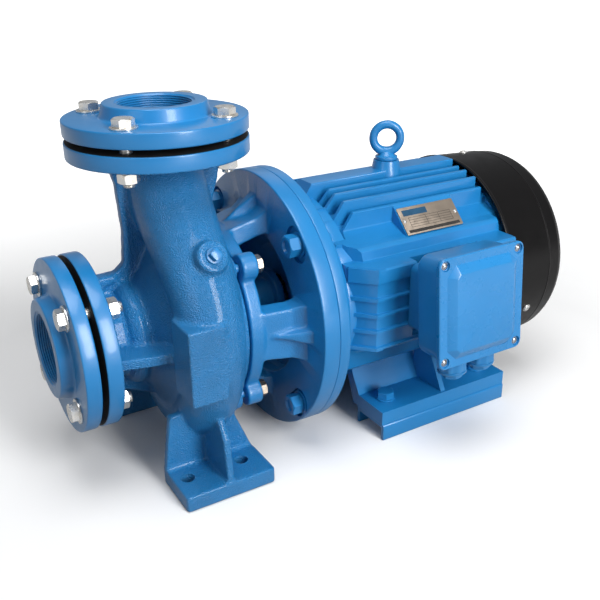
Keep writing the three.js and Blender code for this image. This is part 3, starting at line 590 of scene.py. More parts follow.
# painted shade for the faces inside the flange gaps
GAP_SHADE = plain("painted_gap_shade", (0.012, 0.012, 0.013), roughness=0.6, scale=800)
CERAMIC = plain("ceramic_seal", (0.74, 0.71, 0.64), roughness=0.3, scale=900, depth=0.0001)
LEGEND = plain("legend_blue", (0.012, 0.06, 0.12), roughness=0.4, scale=900)
DARK_PRINT = plain("legend_dark", (0.02, 0.018, 0.016), roughness=0.5, scale=900)

# ------------------------------------------------------------------ volute casing
SCROLL_BASE = 73
SCROLL_START = -285                  # degrees, where the scroll is narrowest
# Neck from the scroll up to the discharge flange: y, z, outside radius
NECK = [(-106, 0, 33), (-103.4, 33, 33.5), (-95, 58, 34.5), (-79.5, 80, 35.5), (-60, 99, 37),
        (-41, 119, 39), (-22, 142, 40), (-8, 163, 40.5), (0, 190, 41)]
NECK_BEFORE, NECK_AFTER = (-103.4, -33, 32.2), (0, 217, 41)
PUMP_FOOT_X = (-53, 49)
FILLER_AXIS = np.array((0, -0.86, 0.51))
FILLER_ORIGIN = np.array((3.0, -79, 88)) + FILLER_AXIS * 24


def neck_path():
    """Smooth spline through the neck stations."""
    stations, path, steps = [np.array(p) for p in (NECK_BEFORE, *NECK, NECK_AFTER)], [], 6
    for i in range(1, len(stations) - 2):
        p0, p1, p2, p3 = stations[i - 1:i + 3]
        for k in range(steps):
            s = k / steps
            path.append(0.5 * (2 * p1 + (p2 - p0) * s + (2 * p0 - 5 * p1 + 4 * p2 - p3) * s * s
                               + (3 * p1 - p0 - 3 * p2 + p3) * s ** 3))
    return path + [stations[-2]]


def volute(outer, count):
    """Outside of the scroll and neck, or the water passage inside them."""
    rings = []

    def oval(centre, across, half_across, half_x):
        rings.append([centre + across * half_across * math.cos(a)
                      + np.array((1.0, 0, 0)) * half_x * math.sin(a) for a in full_turn(count)])
    for degrees in np.linspace(SCROLL_START, -4, 72):
        angle = math.radians(degrees)
        size = 10 + 23 * min(1, (degrees - SCROLL_START) / -SCROLL_START) ** 0.8
        radial = np.array((0, -math.cos(angle), math.sin(angle)))
        if outer:
            oval(radial * (SCROLL_BASE + size), radial, size, size)
        else:
            oval(radial * (SCROLL_BASE + size - 4), radial, size - 4, max(size - 8, 4))
    path = neck_path()
    for i, (y, z, radius) in enumerate(path):
        before, after = path[max(0, i - 1)], path[min(len(path) - 1, i + 1)]
        tangent = np.array((0, after[0] - before[0], after[1] - before[1]))
        tangent /= np.linalg.norm(tangent)
        if i == len(path) - 1:
            tangent = np.array((0, 0, 1.0))
        across = np.array((0, -tangent[2], tangent[1]))
        size = radius if outer else min(radius - 8, NOZZLE_R)
        oval(np.array((0, y, z)), across, size, size)
    if not outer:
        oval(np.array((0, 0, 206.0)), np.array((0, -1.0, 0)), NOZZLE_R, NOZZLE_R)
    return skin(rings)


def lug(y, z, root, half_width, start, end):
    """Wedge that ties a stud boss at (y, z) back towards the shaft."""
    return prism([(y * root - z * half_width, z * root + y * half_width),
                  (y * root + z * half_width, z * root - y * half_width),
                  (y + z * 0.13, z - y * 0.13), (y - z * 0.13, z + y * 0.13)], "x", start, end)


def pump_foot(side):
    plate_y = sorted((side * 84, side * 138))
    web_y = sorted((side * 84, side * 75))
    x0, x1 = PUMP_FOOT_X
    web = [(x0, BASE_Z), (x1, BASE_Z), (48, -134), (29, -87), (22, -70), (-44.5, -70), (x0, -134)]
    if side < 0:
        gusset = [(-137, -135), (-75, -135), (-75, -60), (-105, -60), (-120, -70), (-130.5, -86)]
    else:
        gusset = [(137, -135), (75, -135), (75, -60), (100, -62), (124, -86)]
    return [prism(rect(x0, x1, *plate_y), "z", BASE_Z, -134, 3, 3), prism(web, "y", *web_y),
            prism(gusset, "x", -6, 2)]


def casing_shells():
    core = lathe([(-94, 0), (-94, 56, 0), (-88, 50, 3), (-80, 46.5, 8), (-62, 47, 8),
                  (-44, 57, 12), (-32, 76, 12), (-22, 95, 4), (24, 95, 3), (36, 98, 2),
                  (45.6, 98, 1), (45.6, 0)], "x", 160, radius=2, steps=4)
    band = lathe([(-64, 40), (-64, 52, 4), (-58, 57.5, 4), (-50, 59, 4), (-46, 50, 2),
                  (-46, 40)], "x", 120, radius=3, steps=4)
    shells = [volute(True, 40), core, band] + pump_foot(-1) + pump_foot(1)
    shells += [
        # web between the suction flange and the discharge flange, and its thick root
        prism([(-98, 40), (-40, 40), (-22, 100), (-22, 188), (-58, 188), (-50, 160),
               (-47, 110), (-50, 76, 3), (-60, 68, 3), (-98, 66)], "y", -5.5, 5.5, 3, 3),
        prism([(-98, 52), (-60, 60), (-60, 66), (-98, 66)], "y", -9, 9),
        # web under the discharge flange on its motor side
        prism([(20, 86), (36, 86), (50.3, 117), (61.4, 150.5), (68.5, 188), (20, 188)],
              "y", -5.5, 5.5),
        # webs on both sides of the suction nozzle, then below it
        prism([(-98, -76), (-98, -40), (-30, -40), (-30, -92), (-58, -87)], "z", -5.5, 5.5),
        prism([(-98, 40), (-98, 76), (-58, 87), (-30, 92), (-30, 40)], "z", -5.5, 5.5),
        prism([(-94, -40), (-30, -40), (-30, -84), (-60, -70), (-94, -58)], "y", -5, 5),
        # flat pad on the -Y side of the scroll
        prism(rect(-39, 0, -34, 47), "y", -138.8, -96, 1.2, 2),
        # drain boss and filler boss
        rod("z", 13, -128, -100),
        lathe([(-6, 0), (-6, 17.5), (10, 16.6, 1), (15.4, 15.6, 1.4), (15.4, 0)],
              FILLER_AXIS, 64, FILLER_ORIGIN, radius=1),
    ]
    for y, z in diagonals(STUD_R):
        shells.append(rod("x", 14.5, 20, 39.5, (0, y, z), edge=1))
        shells.append(lug(y, z, 0.8, 0.14, 22, 39.5))
    # collar that carries the discharge flange, inside the flange's own outline
    shells.append(lathe([(176, 0), (176, 41), (182, 45), (189, 52), (189, 0)], "z", 96))
    return shells


def on_flanges(x, y, z, depth, inner, outer=math.inf):
    """True within depth of either flange plane and between two radii."""
    return ((z > DISCHARGE_TOP - depth and inner < math.hypot(x, y) < outer)
            or (x < SUCTION_FACE + depth and inner < math.hypot(y, z) < outer))


def volute_casing():
    casing = cast(casing_shells(), voxel=1.25, fillet=2.2)
    rims = [rod(axis, FLANGE_R, *sorted((face, face - outward * FLANGE_T)), segments=192,
                edge=1.4, steps=3) for _, axis, face, outward in FLANGES]
    edge_dust_and_highlight = [rod(axis, RAISED_R, face - 2, face + 2, segments=128, edge=0)
              for _, axis, face, _ in FLANGES]
    boolean(casing, rims + edge_dust_and_highlight, "UNION")
    chamber = [(-120, 0), (-120, NOZZLE_R), (-36, NOZZLE_R), (-36, 48.5), (-22, 48.5), (-22, 60),
               (-18, 78.3), (31, 78.3), (31, 84), (50, 84), (50, 0)]
    cuts = [volute(False, 28), lathe(chamber)]
    cuts += [drill("z", 7.75, -160, -130, (x, y, 0), 48) for x in (-38, 24.5)
             for y in (-105, 105)]
    cuts += [drill("x", 5.4, 25, 60, (0, y, z), 24) for y, z in diagonals(STUD_R)]
    cuts += [drill("z", 7, 180, 206, (x, y, 0)) for x, y in diagonals(FLANGE_PCD / 2)]
    cuts += [drill("x", 7, -110, -84, (0, y, z)) for y, z in diagonals(FLANGE_PCD / 2)]
    cuts += [drill(FILLER_AXIS, 8, 2, 22, FILLER_ORIGIN), drill("z", 7, -135, -90, segments=24)]
    boolean(casing, cuts)
    stand_in(casing, "volute_casing", CAST, sharp=44)
    refinish(casing, SMOOTH, lambda x, y, z: on_flanges(x, y, z, 14.8, 56))
    # faces inside the flange gaps get painted shade
    refinish(casing, GAP_SHADE, lambda x, y, z: on_flanges(x, y, z, 0.3, 36, 90.5))


def square_head(half, height):
    return prism(rect(-half, half, -half, half), "z", 0, height, 1.0, 2)


def casing_plugs():
    filler = merged(placed(thread(7.8, 2, 0, 12), FILLER_ORIGIN + FILLER_AXIS * 4, FILLER_AXIS),
                    rod(FILLER_AXIS, 7.9, 14, 17.6, FILLER_ORIGIN),
                    placed(square_head(4.6, 7.6), FILLER_ORIGIN + FILLER_AXIS * 16.4,
                           FILLER_AXIS, 0.5))
    stand_in(bevel(to_object(filler), 0.5), "priming_plug", SMOOTH)
    drain = merged(rod("z", 6.8, -128.4, -112), moved(square_head(5.2, 7), (0, 0, -135)))
    stand_in(bevel(to_object(drain), 0.4), "drain_plug", SMOOTH)


# ------------------------------------------------------------------ companion flanges and bolts
def companion(name, axis, casing_face, outward):
    face = casing_face + outward * FLANGE_GAP

    def at(distance):
        return face + outward * distance
    hub_end = COMPANION_T + HUB_H
    profile = [(at(-2), BORE_R + 1.2), (at(-2), RAISED_R, .4), (at(0), RAISED_R, .6),
               (at(0), FLANGE_R, 1.6), (at(COMPANION_T), FLANGE_R, 1.6),
               (at(COMPANION_T), HUB_R + 3.4, 3.0), (at(hub_end), HUB_R, 1.8),
               (at(hub_end), BORE_R + 2.2, .5), (at(hub_end - 2.4), BORE_R + 0.3, .3),
               (at(hub_end - 4), BORE_R + 1.2, 0)]
    flange = to_object(lathe(profile, axis, 192, radius=1))
    ends = sorted((at(-4), at(20)))
    boolean(flange, [drill(axis, 7, *ends, flange_point(axis, p, q))
                     for p, q in diagonals(FLANGE_PCD / 2)])
    ends = sorted((at(-1.6), at(hub_end - 1.6)))
    bore = to_object(bore_thread(BORE_R, 2.31, *ends, axis))
    bpy.ops.object.select_all(action="DESELECT")
    bore.select_set(True)
    flange.select_set(True)
    bpy.context.view_layer.objects.active = flange
    bpy.ops.object.join()
    stand_in(flange, name + "_companion_flange", SMOOTH, sharp=40)

    def gasket_side(x, y, z):
        along, radius = (z, math.hypot(x, y)) if axis == "z" else (x, math.hypot(y, z))
        return (along - face) * outward < 0.3 and 39 < radius < 90.5
    # the gasket-side faces inside the flange gap get painted shade
    refinish(flange, GAP_SHADE, gasket_side)


def flange_bolts(name, axis, face, outward):
    """Heads lie on the companion flange, spring washers and nuts on the casing flange."""
    head = hexagon(19, 7.8, 0.94)
    nut = hexagon(19, 10, 0.94, both=True)
    washer = tube("z", 6.4, 13.3, 0, 2.2, segments=56)
    spring = tube("z", 6.2, 10.4, 0, 2.8, segments=48, edge=.4)
    head_at, nut_at = face + outward * (FLANGE_GAP + COMPANION_T), face - outward * FLANGE_T
    shank = rod("z", 5.9, -4, abs(head_at - nut_at) + 3, segments=40)
    out = np.array(flange_point(axis, 0, 0, outward), float)
    for i, (p, q) in enumerate(diagonals(FLANGE_PCD / 2)):
        head_seat = np.array(flange_point(axis, p, q, head_at))
        nut_seat = np.array(flange_point(axis, p, q, nut_at))
        spin = (0.35, 1.0, 0.1, 0.7)[i] + (0.25 if axis == "x" else 0)
        bolt = merged(placed(washer, head_seat, out),
                      placed(head, head_seat + out * 2.2, out, spin),
                      placed(shank, nut_seat, out), placed(spring, nut_seat, -out),
                      placed(nut, nut_seat - out * 2.8, -out, spin + 0.3),
                      placed(thread(5.9, 1.75, 0, 12), nut_seat - out * 17, out))
        stand_in(bolt, "%s_bolt_%d" % (name, i + 1), ZINC, sharp=30)


# ------------------------------------------------------------------ lantern bracket
# Arm and rib sections: x, inner radius, outer radius, inner half width, outer half width
ARM = ((60, 76, 98.5, 29, 26.5), (92, 86, 106, 31, 28.5), (107, 90, 116, 35, 33))
ARM_RIB = ((66, 94, 99.4, 1.2, 0.8), (84, 98, 112.5, 5.5, 2.8), (107, 106, 128.5, 12, 8))
BOLT_SEAT_X = 109.0                  # bottom of the motor bolt recesses


def wedge(sections):
    return skin([[(x, inner, -root), (x, outer, -tip), (x, outer, tip), (x, inner, root)]
                 for x, inner, outer, root, tip in sections])


def lantern():
    shells = [tube("x", 61, 101, 46.3, 62, segments=160, edge=1.2)]
    for k in range(4):
        shells += [turned_x(wedge(ARM), 90 * k), turned_x(wedge(ARM_RIB), 90 * k)]
    for y, z in diagonals(STUD_R):
        shells.append(rod("x", 14.5, 46.3, 64.5, (0, y, z), edge=1.4))
        shells.append(lug(y, z, 0.84, 0.135, 46.3, 63.5))
    shells.append(tube("x", 88, 140, 105.4, 120, segments=160))
    bracket = cast(shells, voxel=1.2, fillet=1.6)
    rim = [(104.5, 88, 1.5), (104.5, MOTOR_FLANGE_R, 1.8), (123.3, MOTOR_FLANGE_R, .9),
           (123.3, 115.4, 0), (119, 115.4, 0), (119, 88, 1.5)]
    boolean(bracket, [lathe(rim, "x", 224)], "UNION")
    cuts = [drill("x", 5.6, 40, 70, (0, y, z), 24) for y, z in diagonals(STUD_R)]
    for y, z in diagonals(MOTOR_BOLT_R):
        # recessed seat of each motor bolt, a short slot along the bolt circle
        tangent = np.array((0, -z, y)) / math.hypot(y, z)
        for s in (-1, 0, 1):
            seat = np.array((0, y, z)) + tangent * s * 6
            cuts.append(drill("x", 14.6, 103, BOLT_SEAT_X, seat, 40))
        cuts.append(drill("x", 7.5, 103, 125, (0, y, z), 24))
    boolean(bracket, cuts)
    stand_in(bracket, "lantern_bracket", LIGHT_CAST, sharp=44)
    refinish(bracket, SMOOTH, lambda x, y, z: x > 104 and math.hypot(y, z) > 148.2)


def casing_studs():
    nut = hexagon(17, 6.8)
    washer = tube("z", 5.4, 10.2, 0, 1.4, segments=40, edge=.4)
    for i, (y, z) in enumerate(diagonals(STUD_R)):
        piece(rod("x", 5, 27, 66.4, (0, y, z), 32), "casing_stud_shank_%d" % (i + 1), SMOOTH)
        stud = merged(placed(washer, (64.6, y, z), "x"), placed(nut, (66.0, y, z), "x", 0.3 + i))
        stand_in(stud, "casing_stud_%d" % (i + 1), WARM_ZINC, sharp=30)


def motor_flange_bolts():
    head = hexagon(21, 11.8, dimple=2.2)
    toward_pump = (-1, 0, 0)
    for i, (y, z) in enumerate(diagonals(MOTOR_BOLT_R)):
        bolt = merged(
            tube(toward_pump, 7.4, 13.6, 0, 2.6, (BOLT_SEAT_X, y, z), 56, .4),
            tube(toward_pump, 7.2, 11.0, 0, 3, (BOLT_SEAT_X - 2.6, y, z), 48, .5),
            placed(head, (BOLT_SEAT_X - 5.0, y, z), toward_pump, 0.25 + i * 0.6),
            rod("x", 6.9, BOLT_SEAT_X - 5, 144.5, (0, y, z), 32))
        stand_in(bolt, "motor_flange_bolt_%d" % (i + 1), SMOOTH, sharp=30)


# ------------------------------------------------------------------ motor
BARREL_R = 106


def on_barrel(y):
    return (y, math.sqrt(BARREL_R * BARREL_R - y * y), 1)


def fin(near, near_top, far, far_top):
    return [on_barrel(near), (near, near_top, 1.3), (far, far_top, 1.3), on_barrel(far)]


# Half of the frame section from the top ridge round to the underside: y, z, corner radius
HALF_SECTION = [
    (14, 129.3, 1.5), (*on_barrel(14)[:2], 1.5),
    *fin(22.5, 123.4, 26.5, 122.5), *fin(36.5, 121.4, 40.5, 120.5), *fin(53, 116.7, 57, 115.8),
    *fin(63.5, 106.3, 67.7, 105.5)[:3],
    (67.7, 86, 3), (88, 77.2, 2), (97, 75.6, 2), (101.2, 71.5, 2), (103, 61, 2), (130, 61, 1),
    (132, 59, .8), (132, 45, .8), (129, 44, .6), (129, 28, .6), (132, 27, .8), (132, 24, .8),
    (129, 23, .6), (129, 9, .6), (132, 8, .8), (132, 5, .8), (129, 4, .6), (129, -10, .6),
    (132, -11, .8), (132, -14, .8), (129, -15, .6), (129, -31, .6), (132, -32, .8),
    (132, -34, .8), (130, -36, 1), (103, -40, 3), (97, -69, 1.5), (90, -75, 2), (76, -80, 3),
    (60, -96, 1), (60, -100, 1), (56, -101, 1), (30, -104, 1), (30, -118, 1), (26, -118, 1),
    (26, -103, 1)]


def flange_end_shield():
    profile = [(119.5, 92), (119.5, 115, 0), (123.5, 115, 0), (123.5, MOTOR_FLANGE_R, 1.2),
               (136.5, MOTOR_FLANGE_R, 2.0), (136.5, 123, 4), (146, 117.5, 3), (159.7, 114.5, 1),
               (159.7, 95.2), (166, 95.2), (166, 90), (150, 86), (146, 56), (166, 52), (166, 41),
               (146, 41), (140, 38), (140, 24), (134, 24), (134, 60), (128, 88)]
    shield = to_object(lathe(profile, "x", 224, radius=.5))
    boolean(shield, [drill("x", 7.4, 115, 150, (0, y, z), 24) for y, z in diagonals(MOTOR_BOLT_R)])
    stand_in(shield, "flange_end_shield", SMOOTH, slot="cast_blue_paint", sharp=40)


def fin_end_cuts():
    """Cuts that slope the fins and side ribs down to the flange end of the frame."""
    cuts = [tube("x", 116, 240, 380, 390, segments=160, edge=0),
            block(234, 330, -140, -118, -30, 62),
            prism([(158, 118), (166, 118), (173, 130), (173, 140), (158, 140)], "y", -16, 16)]
    # y from, y to, slope top x and z, slope foot x and z
    slopes = ((22, 46.5, 188.3, 121.9, 175.6, 107), (46.5, 60, 188.4, 116.2, 174.7, 97.3),
              (60, 86, 193.5, 106, 176, 81))
    rib_cut = ((158, 96), (158, 150), (200, 150), (186.9, 132), (161.1, 104.1), (159, 101.9),
               (159, 96))
    shoulder_cut = ((158, 84), (158, 120), (196, 120), (184, 104), (172, 90), (168, 84))
    for side in (-1, 1):
        for y0, y1, top_x, top_z, foot_x, foot_z in slopes:
            cuts.append(prism([(158, foot_z), (foot_x, foot_z), (top_x, top_z),
                               (top_x + 12, top_z + 14), (158, top_z + 14)],
                              "y", *sorted((side * y0, side * y1))))
        cuts.append(prism([(x, side * y) for x, y in rib_cut], "z", -62, 61.5))
        cuts.append(prism([(x, side * y) for x, y in shoulder_cut], "z", 61.5, 84))
    return cuts


def motor_feet():
    shells = []
    web = [(76, -130), (87, -130), (87, -114.5), (73.5, -92), (70, -78), (58, -84)]
    gusset = [(76, -116.5), (132.5, -116.5), (105, -66), (80, -66)]
    for side in (-1, 1):
        shells += [block(192, 378.5, *sorted((side * 84, side * 134.5)), -132, -115.5),
                   prism(mirrored(web, side), "x", 192, 372.5),
                   prism(mirrored(gusset, side), "x", 280, 286.5)]
    return shells


def motor_frame():
    outline = HALF_SECTION + [(0, -BARREL_R, 0)] + mirrored(reversed(HALF_SECTION), -1)
    body = to_object(prism(outline, "x", FRAME_START, FRAME_END))
    boolean(body, fin_end_cuts())
    rib_end = ((183, 132), (160.5, 107.6), (165, 103.5), (192, 131.9))
    rib_z = ((44.6, 60.6), (23.4, 27.6), (4.4, 8.6), (-14.6, -10.4), (-35.6, -31.4))
    ribs = [prism([(x, side * y) for x, y in rib_end], "z", z0, z1)
            for side in (-1, 1) for z0, z1 in rib_z]
    collar = tube("x", 100, 112.7, FRAME_START, 175, segments=160, edge=1.2)
    boolean(body, ribs + [collar], "UNION")
    eye_boss = lathe([(100, 0), (100, 19.5), (126, 18.2), (131, 16.8), (139, 15.3), (139, 0)],
                     "z", 64, (EYE_X, 0, 0))
    plate_pad = prism([(-66, 106.1), (-98, 74.1), (-92, 66), (-66, 80)], "x", 247.5, 330.5)
    boolean(body, motor_feet() + [eye_boss, plate_pad], "UNION")
    bore = lathe([(158, 0), (158, 96.3), (200, 96.3), (200, 92.3), (322, 92.3), (322, 96.3),
                  (390, 96.3), (390, 0)], "x", 96)
    boolean(body, [bore, drill("z", 6, 124, 142, (EYE_X, 0, 0), 24)])
    boolean(body, [drill("z", 6.5, -134, -114, (x, y, 0)) for x in MOTOR_FOOT_X
                   for y in (-MOTOR_FOOT_Y, MOTOR_FOOT_Y)])
    bevel(body, 0.7, 38)
    stand_in(body, "motor_frame", SMOOTH, sharp=42)


def rear_end_shield():
    # x from the end of the frame, radius, corner radius
    profile = [(.3, 114, 1), (8, 114, 2), (8, 60, 3), (2, 52, 1), (2, 24, 1), (-3, 24, 1),
               (-3, 41, 1), (-22, 41, 1), (-22, 52, 1), (-8, 56, 1), (-6, 95.2, 1),
               (.3, 95.2, 1)]
    stand_in(lathe([(FRAME_END + x, r, corner) for x, r, corner in profile], "x", 160, steps=2),
             "rear_end_shield", LIGHT_CAST)


def screw(radius, height):
    """Pan-head cross-slot screw seated on z 0."""
    washer_r = radius + .8
    profile = [(-4, 0), (-4, radius * .5), (-0.4, radius * .5), (-0.4, washer_r, .3),
               (0.5, washer_r, .3), (0.5, radius, .2), (height * .55, radius, height * .5),
               (height, radius * .45, 1), (height, 0)]
    body = to_object(lathe(profile, "z", 40, radius=.3, steps=4))
    long, thin, z_range = radius * .62, radius * .12, (height * .45, height + 2)
    boolean(body, [block(-long, long, -thin, thin, *z_range),
                   block(-thin, thin, -long, long, *z_range)])
    mesh = body.data
    shell = (np.array([tuple(v.co) for v in mesh.vertices]),
             [tuple(p.vertices) for p in mesh.polygons])
    bpy.data.objects.remove(body)
    return shell


def fan_cowl():
    """Thin sheet with a rolled lip at the frame, a raised seam and vent slots in the end."""
    profile = [(474.4, 0), (475.4, 20, 2), (475.6, 112, 4), (472, 118, 4), (466, 120.8, 3),
               (451, 122, 1), (384.5, 126, .5), (382, 126.4, .3), (382, 128.4, .5),
               (384.5, 128.9, .8), (387, 128.1, 1), (449.6, 124.9, .4), (451.2, 125.3, .7),
               (452.8, 124.4, .5), (468, 123.2, 3), (475.5, 120, 5), (478, 113, 5),
               (478, 20, 2), (478, 0)]
    cowl = to_object(lathe(profile, "x", 224))
    slot_r, slot_inner, slot_outer = 8, 50, 92
    slots = []
    for k in range(8):
        angle = math.radians(45 * k)
        radial = np.array((-math.sin(angle), math.cos(angle)))
        across = np.array((math.cos(angle), math.sin(angle)))
        outline = [radial * centre + sign * (across * slot_r * math.cos(a)
                                             - radial * slot_r * math.sin(a))
                   for centre, sign in ((slot_inner, 1), (slot_outer, -1))
                   for a in np.linspace(0, math.pi, 9)]
        slots.append(prism(outline, "x", 468, 484))
    boolean(cowl, slots)
    stand_in(cowl, "fan_cowl", BLACK, sharp=40)


def cowl_screws():
    shape = screw(4.6, 2.6)
    first_angle, seat_r = -8.5, 126.2
    for i in range(3):
        angle = math.radians(first_angle + 120 * i)
        out = np.array((0.045, -math.sin(angle), math.cos(angle)))
        seat = (426, -math.sin(angle) * seat_r, math.cos(angle) * seat_r)
        piece(placed(shape, seat, out, 0.4), "cowl_screw_%d" % (i + 1), ZINC, sharp=30)


# ------------------------------------------------------------------ terminal box
# The box has its own frame: -Y points out of its cover
BOX_FRAME = (Matrix.Translation((267.5, -164.8, 23.4))
             @ Matrix.Rotation(math.radians(-4.9), 4, "X"))
COVER_CORNERS = [(x, z) for x in (-49.9, 49.9) for z in (-52.9, 52.9)]
GLAND_X, GLAND_Y = (-20, 20), -12


def round_rect(width, height, radius, steps=6):
    points = []
    for side_x, side_z, start in ((1, 1, 0), (-1, 1, 90), (-1, -1, 180), (1, -1, 270)):
        for k in range(steps + 1):
            angle = math.radians(start + 90 * k / steps)
            points.append((side_x * (width / 2 - radius) + radius * math.cos(angle),
                           side_z * (height / 2 - radius) + radius * math.sin(angle)))
    return points


def loft(*sections, wrap=False):
    """Joins rounded rectangles of (width, height, corner radius, y)."""
    return skin([[(x, y, z) for x, z in round_rect(width, height, radius)]
                 for width, height, radius, y in sections], wrap)


def terminal_box():
    box = to_object(loft((102, 108, 13, 6.6), (105, 111, 14, 5.0), (106, 112, 14.5, 3),
                         (107.5, 113.5, 14.5, -26), (107.5, 113.5, 14.5, -29.4)))
    boolean(box, [loft((86, 78, 9, 44), (84, 76, 8, 4))], "UNION")
    motor_side = transformed(block(150, 400, -132.4, -60, -90, 140), BOX_FRAME.inverted())
    cavity = loft((99, 105, 11, 2), (99, 105, 11, -32))
    passage = loft((40, 40, 6, 50), (40, 40, 6, 0))
    boolean(box, [motor_side, cavity, passage]
            + [drill("z", 9, -60, -48, (x, GLAND_Y, 0)) for x in GLAND_X])
    bevel(box, 0.5)
    box.data.transform(BOX_FRAME)
    stand_in(box, "terminal_box", SMOOTH, sharp=40)
    gasket = loft((106, 112, 12, -29.6), (106, 112, 12, -30.8), (96, 102, 10, -30.8),
                  (96, 102, 10, -29.6), wrap=True)
    piece(transformed(gasket, BOX_FRAME), "terminal_cover_gasket", RUBBER)


def chamfered_ring(width, height, y, cut):
    x, z = width / 2, height / 2
    return [(x, y, z - cut), (x - cut, y, z), (-x + cut, y, z), (-x, y, z - cut),
            (-x, y, -z + cut), (-x + cut, y, -z), (x - cut, y, -z), (x, y, -z + cut)]


def terminal_cover():
    lid = to_object(loft((114.4, 120.4, 8, -31.0), (115.4, 121.4, 8.3, -31.8),
                         (115.4, 121.4, 8.3, -35.3), (113.8, 119.8, 7.8, -36.3)))
    edge_dust_and_highlight = to_object(skin([chamfered_ring(98, 106, -34.5, 12),
                             chamfered_ring(95.5, 103.5, -36.3, 11.5),
                             chamfered_ring(77.5, 85.5, -42.4, 4.2)]))
    bevel(edge_dust_and_highlight, 0.6, 12)
    boolean(lid, [edge_dust_and_highlight], "UNION")
    pocket = [(-40, 0), (-40, 5.6, 0), (-33.8, 5.6, .5), (-33.8, 0)]
    boolean(lid, [lathe(pocket, "y", 40, (x, 0, z), steps=2) for x, z in COVER_CORNERS])
    lid.data.transform(BOX_FRAME)
    stand_in(lid, "terminal_box_cover", COVER, sharp=24)
    shape = screw(3.3, 2.3)
    for i, (x, z) in enumerate(COVER_CORNERS, 1):
        piece(transformed(placed(shape, (x, -34.0, z), (0, -1, 0), 0.3 * i), BOX_FRAME),
              "cover_screw_%d" % i, STEEL, slot="zinc_steel", sharp=30)


def cable_glands():
    """Hexagon body, fluted dome nut and a hexagon end, hanging under the box."""
    flutes = []
    # z, radius, groove depth
    for z, radius, depth in ((-75.4, 15.2, 0.0), (-75.0, 16.2, .9), (-64.6, 16.2, .9),
                             (-63.6, 15.2, .0)):
        ring = []
        for a in full_turn(144):
            r = radius - depth * (0.5 + 0.5 * math.cos(9 * a))
            ring.append((r * math.cos(a), r * math.sin(a), z))
        flutes.append(ring)
    dome = [(-79, 0), (-79, 12.8, 1), (-78.4, 15.8, 1), (-75.2, 16.5, .8), (-75.2, 0)]
    gland = merged(rod("z", 8.8, -60, -50, segments=40),
                   moved(hexagon(26, 6.2, .95, both=True), (0, 0, -64.0)), skin(flutes),
                   lathe(dome, "z", 72),
                   placed(hexagon(20, 6), (0, 0, -78.6), (0, 0, -1), .3))
    for i, x in enumerate(GLAND_X):
        stand_in(transformed(moved(gland, (x, GLAND_Y, 0)), BOX_FRAME),
                 "cable_gland_%d" % (i + 1), SMOOTH, sharp=32)


# ------------------------------------------------------------------ nameplate, eye bolt, rails
def nameplate():
    place = Matrix.Translation((288.8, -83.8, 88.8)) @ Matrix.Rotation(math.radians(45), 4, "X")
    plate = bevel(to_object(prism(round_rect(80.6, 34.6, 1.6, 4), "z", 0.15, 1.1)), 0.18)
    plate.data.transform(place)
    stand_in(plate, "nameplate", PLATE)
    for name, edges, material in (("panel", (-35, -1, 6.2, 13.6), LEGEND),
                                  ("band", (-36.5, 36.5, -15.4, -11.6), DARK_PRINT)):
        patch = prism(rect(*edges), "z", 1.0, 1.2, .5, 2)
        piece(transformed(patch, place), "nameplate_" + name, material)
    rules = [prism(rect(-30, 30, y, y + .38), "z", 1.05, 1.16)
             for y in (3.4, 0.4, -2.6, -5.6, -8.6)]
    rules += [prism(rect(x - .2, x + .2, -8.6, 3.7), "z", 1.05, 1.17) for x in (-30, -6, 12, 30)]
    piece(transformed(merged(*rules), place), "nameplate_rules", DARK_PRINT)
    rivet = [(0.6, 0), (0.6, 2.3), (1.6, 2.2, .3), (2.5, 1.2, .8), (2.6, 0)]
    for i, x in enumerate((-36.8, 36.8)):
        shape = lathe(rivet, "z", 32, (x, 0, 0), radius=.3, steps=4)
        piece(transformed(shape, place), "nameplate_rivet_%d" % (i + 1), ZINC)


def eye_bolt():
    across, up = np.array((0.86, -0.51, 0)), np.array((0, 0, 1.0))
    normal = np.array((0.51, 0.86, 0))
    centre = np.array((EYE_X, 0, 164.6))
    rings = []
    for angle in full_turn(72):
        radial = across * math.cos(angle) + up * math.sin(angle)
        # the bar thickens towards the collar
        bar = 5.0 + 0.8 * max(0, -math.sin(angle)) ** 4
        rings.append([centre + radial * 16 + radial * bar * math.cos(a)
                      + normal * bar * math.sin(a) for a in full_turn(28)])
    collar = [(139.4, 0), (139.4, 13.2, .8), (143.4, 13.2, .8), (144.6, 10, 1.5),
              (149.4, 6.2, 3), (149.4, 0)]
    foot = (EYE_X, 0, 0)
    eye = boolean(to_object(skin(rings, wrap=True)),
                  [lathe(collar, "z", 64, foot), rod("z", 5.7, 126, 141, foot, 32)], "UNION")
    stand_in(eye, "eye_bolt", SMOOTH, sharp=50)


def rails():
    """Channels, open downwards, under the motor feet."""
    wall, inner, outer = 4.5, 83.5, 136
    section = [(inner, BASE_Z, 1), (inner + wall, BASE_Z, 1), (inner + wall, -136.6, 1.5),
               (outer - wall, -136.6, 1.5), (outer - wall, BASE_Z, 1), (outer, BASE_Z, 1),
               (outer, -132.1, 2.6), (inner, -132.1, 2.6)]
    for side, name in ((-1, "motor_rail_left"), (1, "motor_rail_right")):
        rail = to_object(prism(mirrored(section, side), "x", 193, 378.5, steps=4))
        boolean(rail, [drill("z", 6.5, BASE_Z, -131, (x, side * MOTOR_FOOT_Y, 0))
                       for x in MOTOR_FOOT_X])
        bevel(rail, 0.35)
        stand_in(rail, name, SMOOTH, sharp=40)


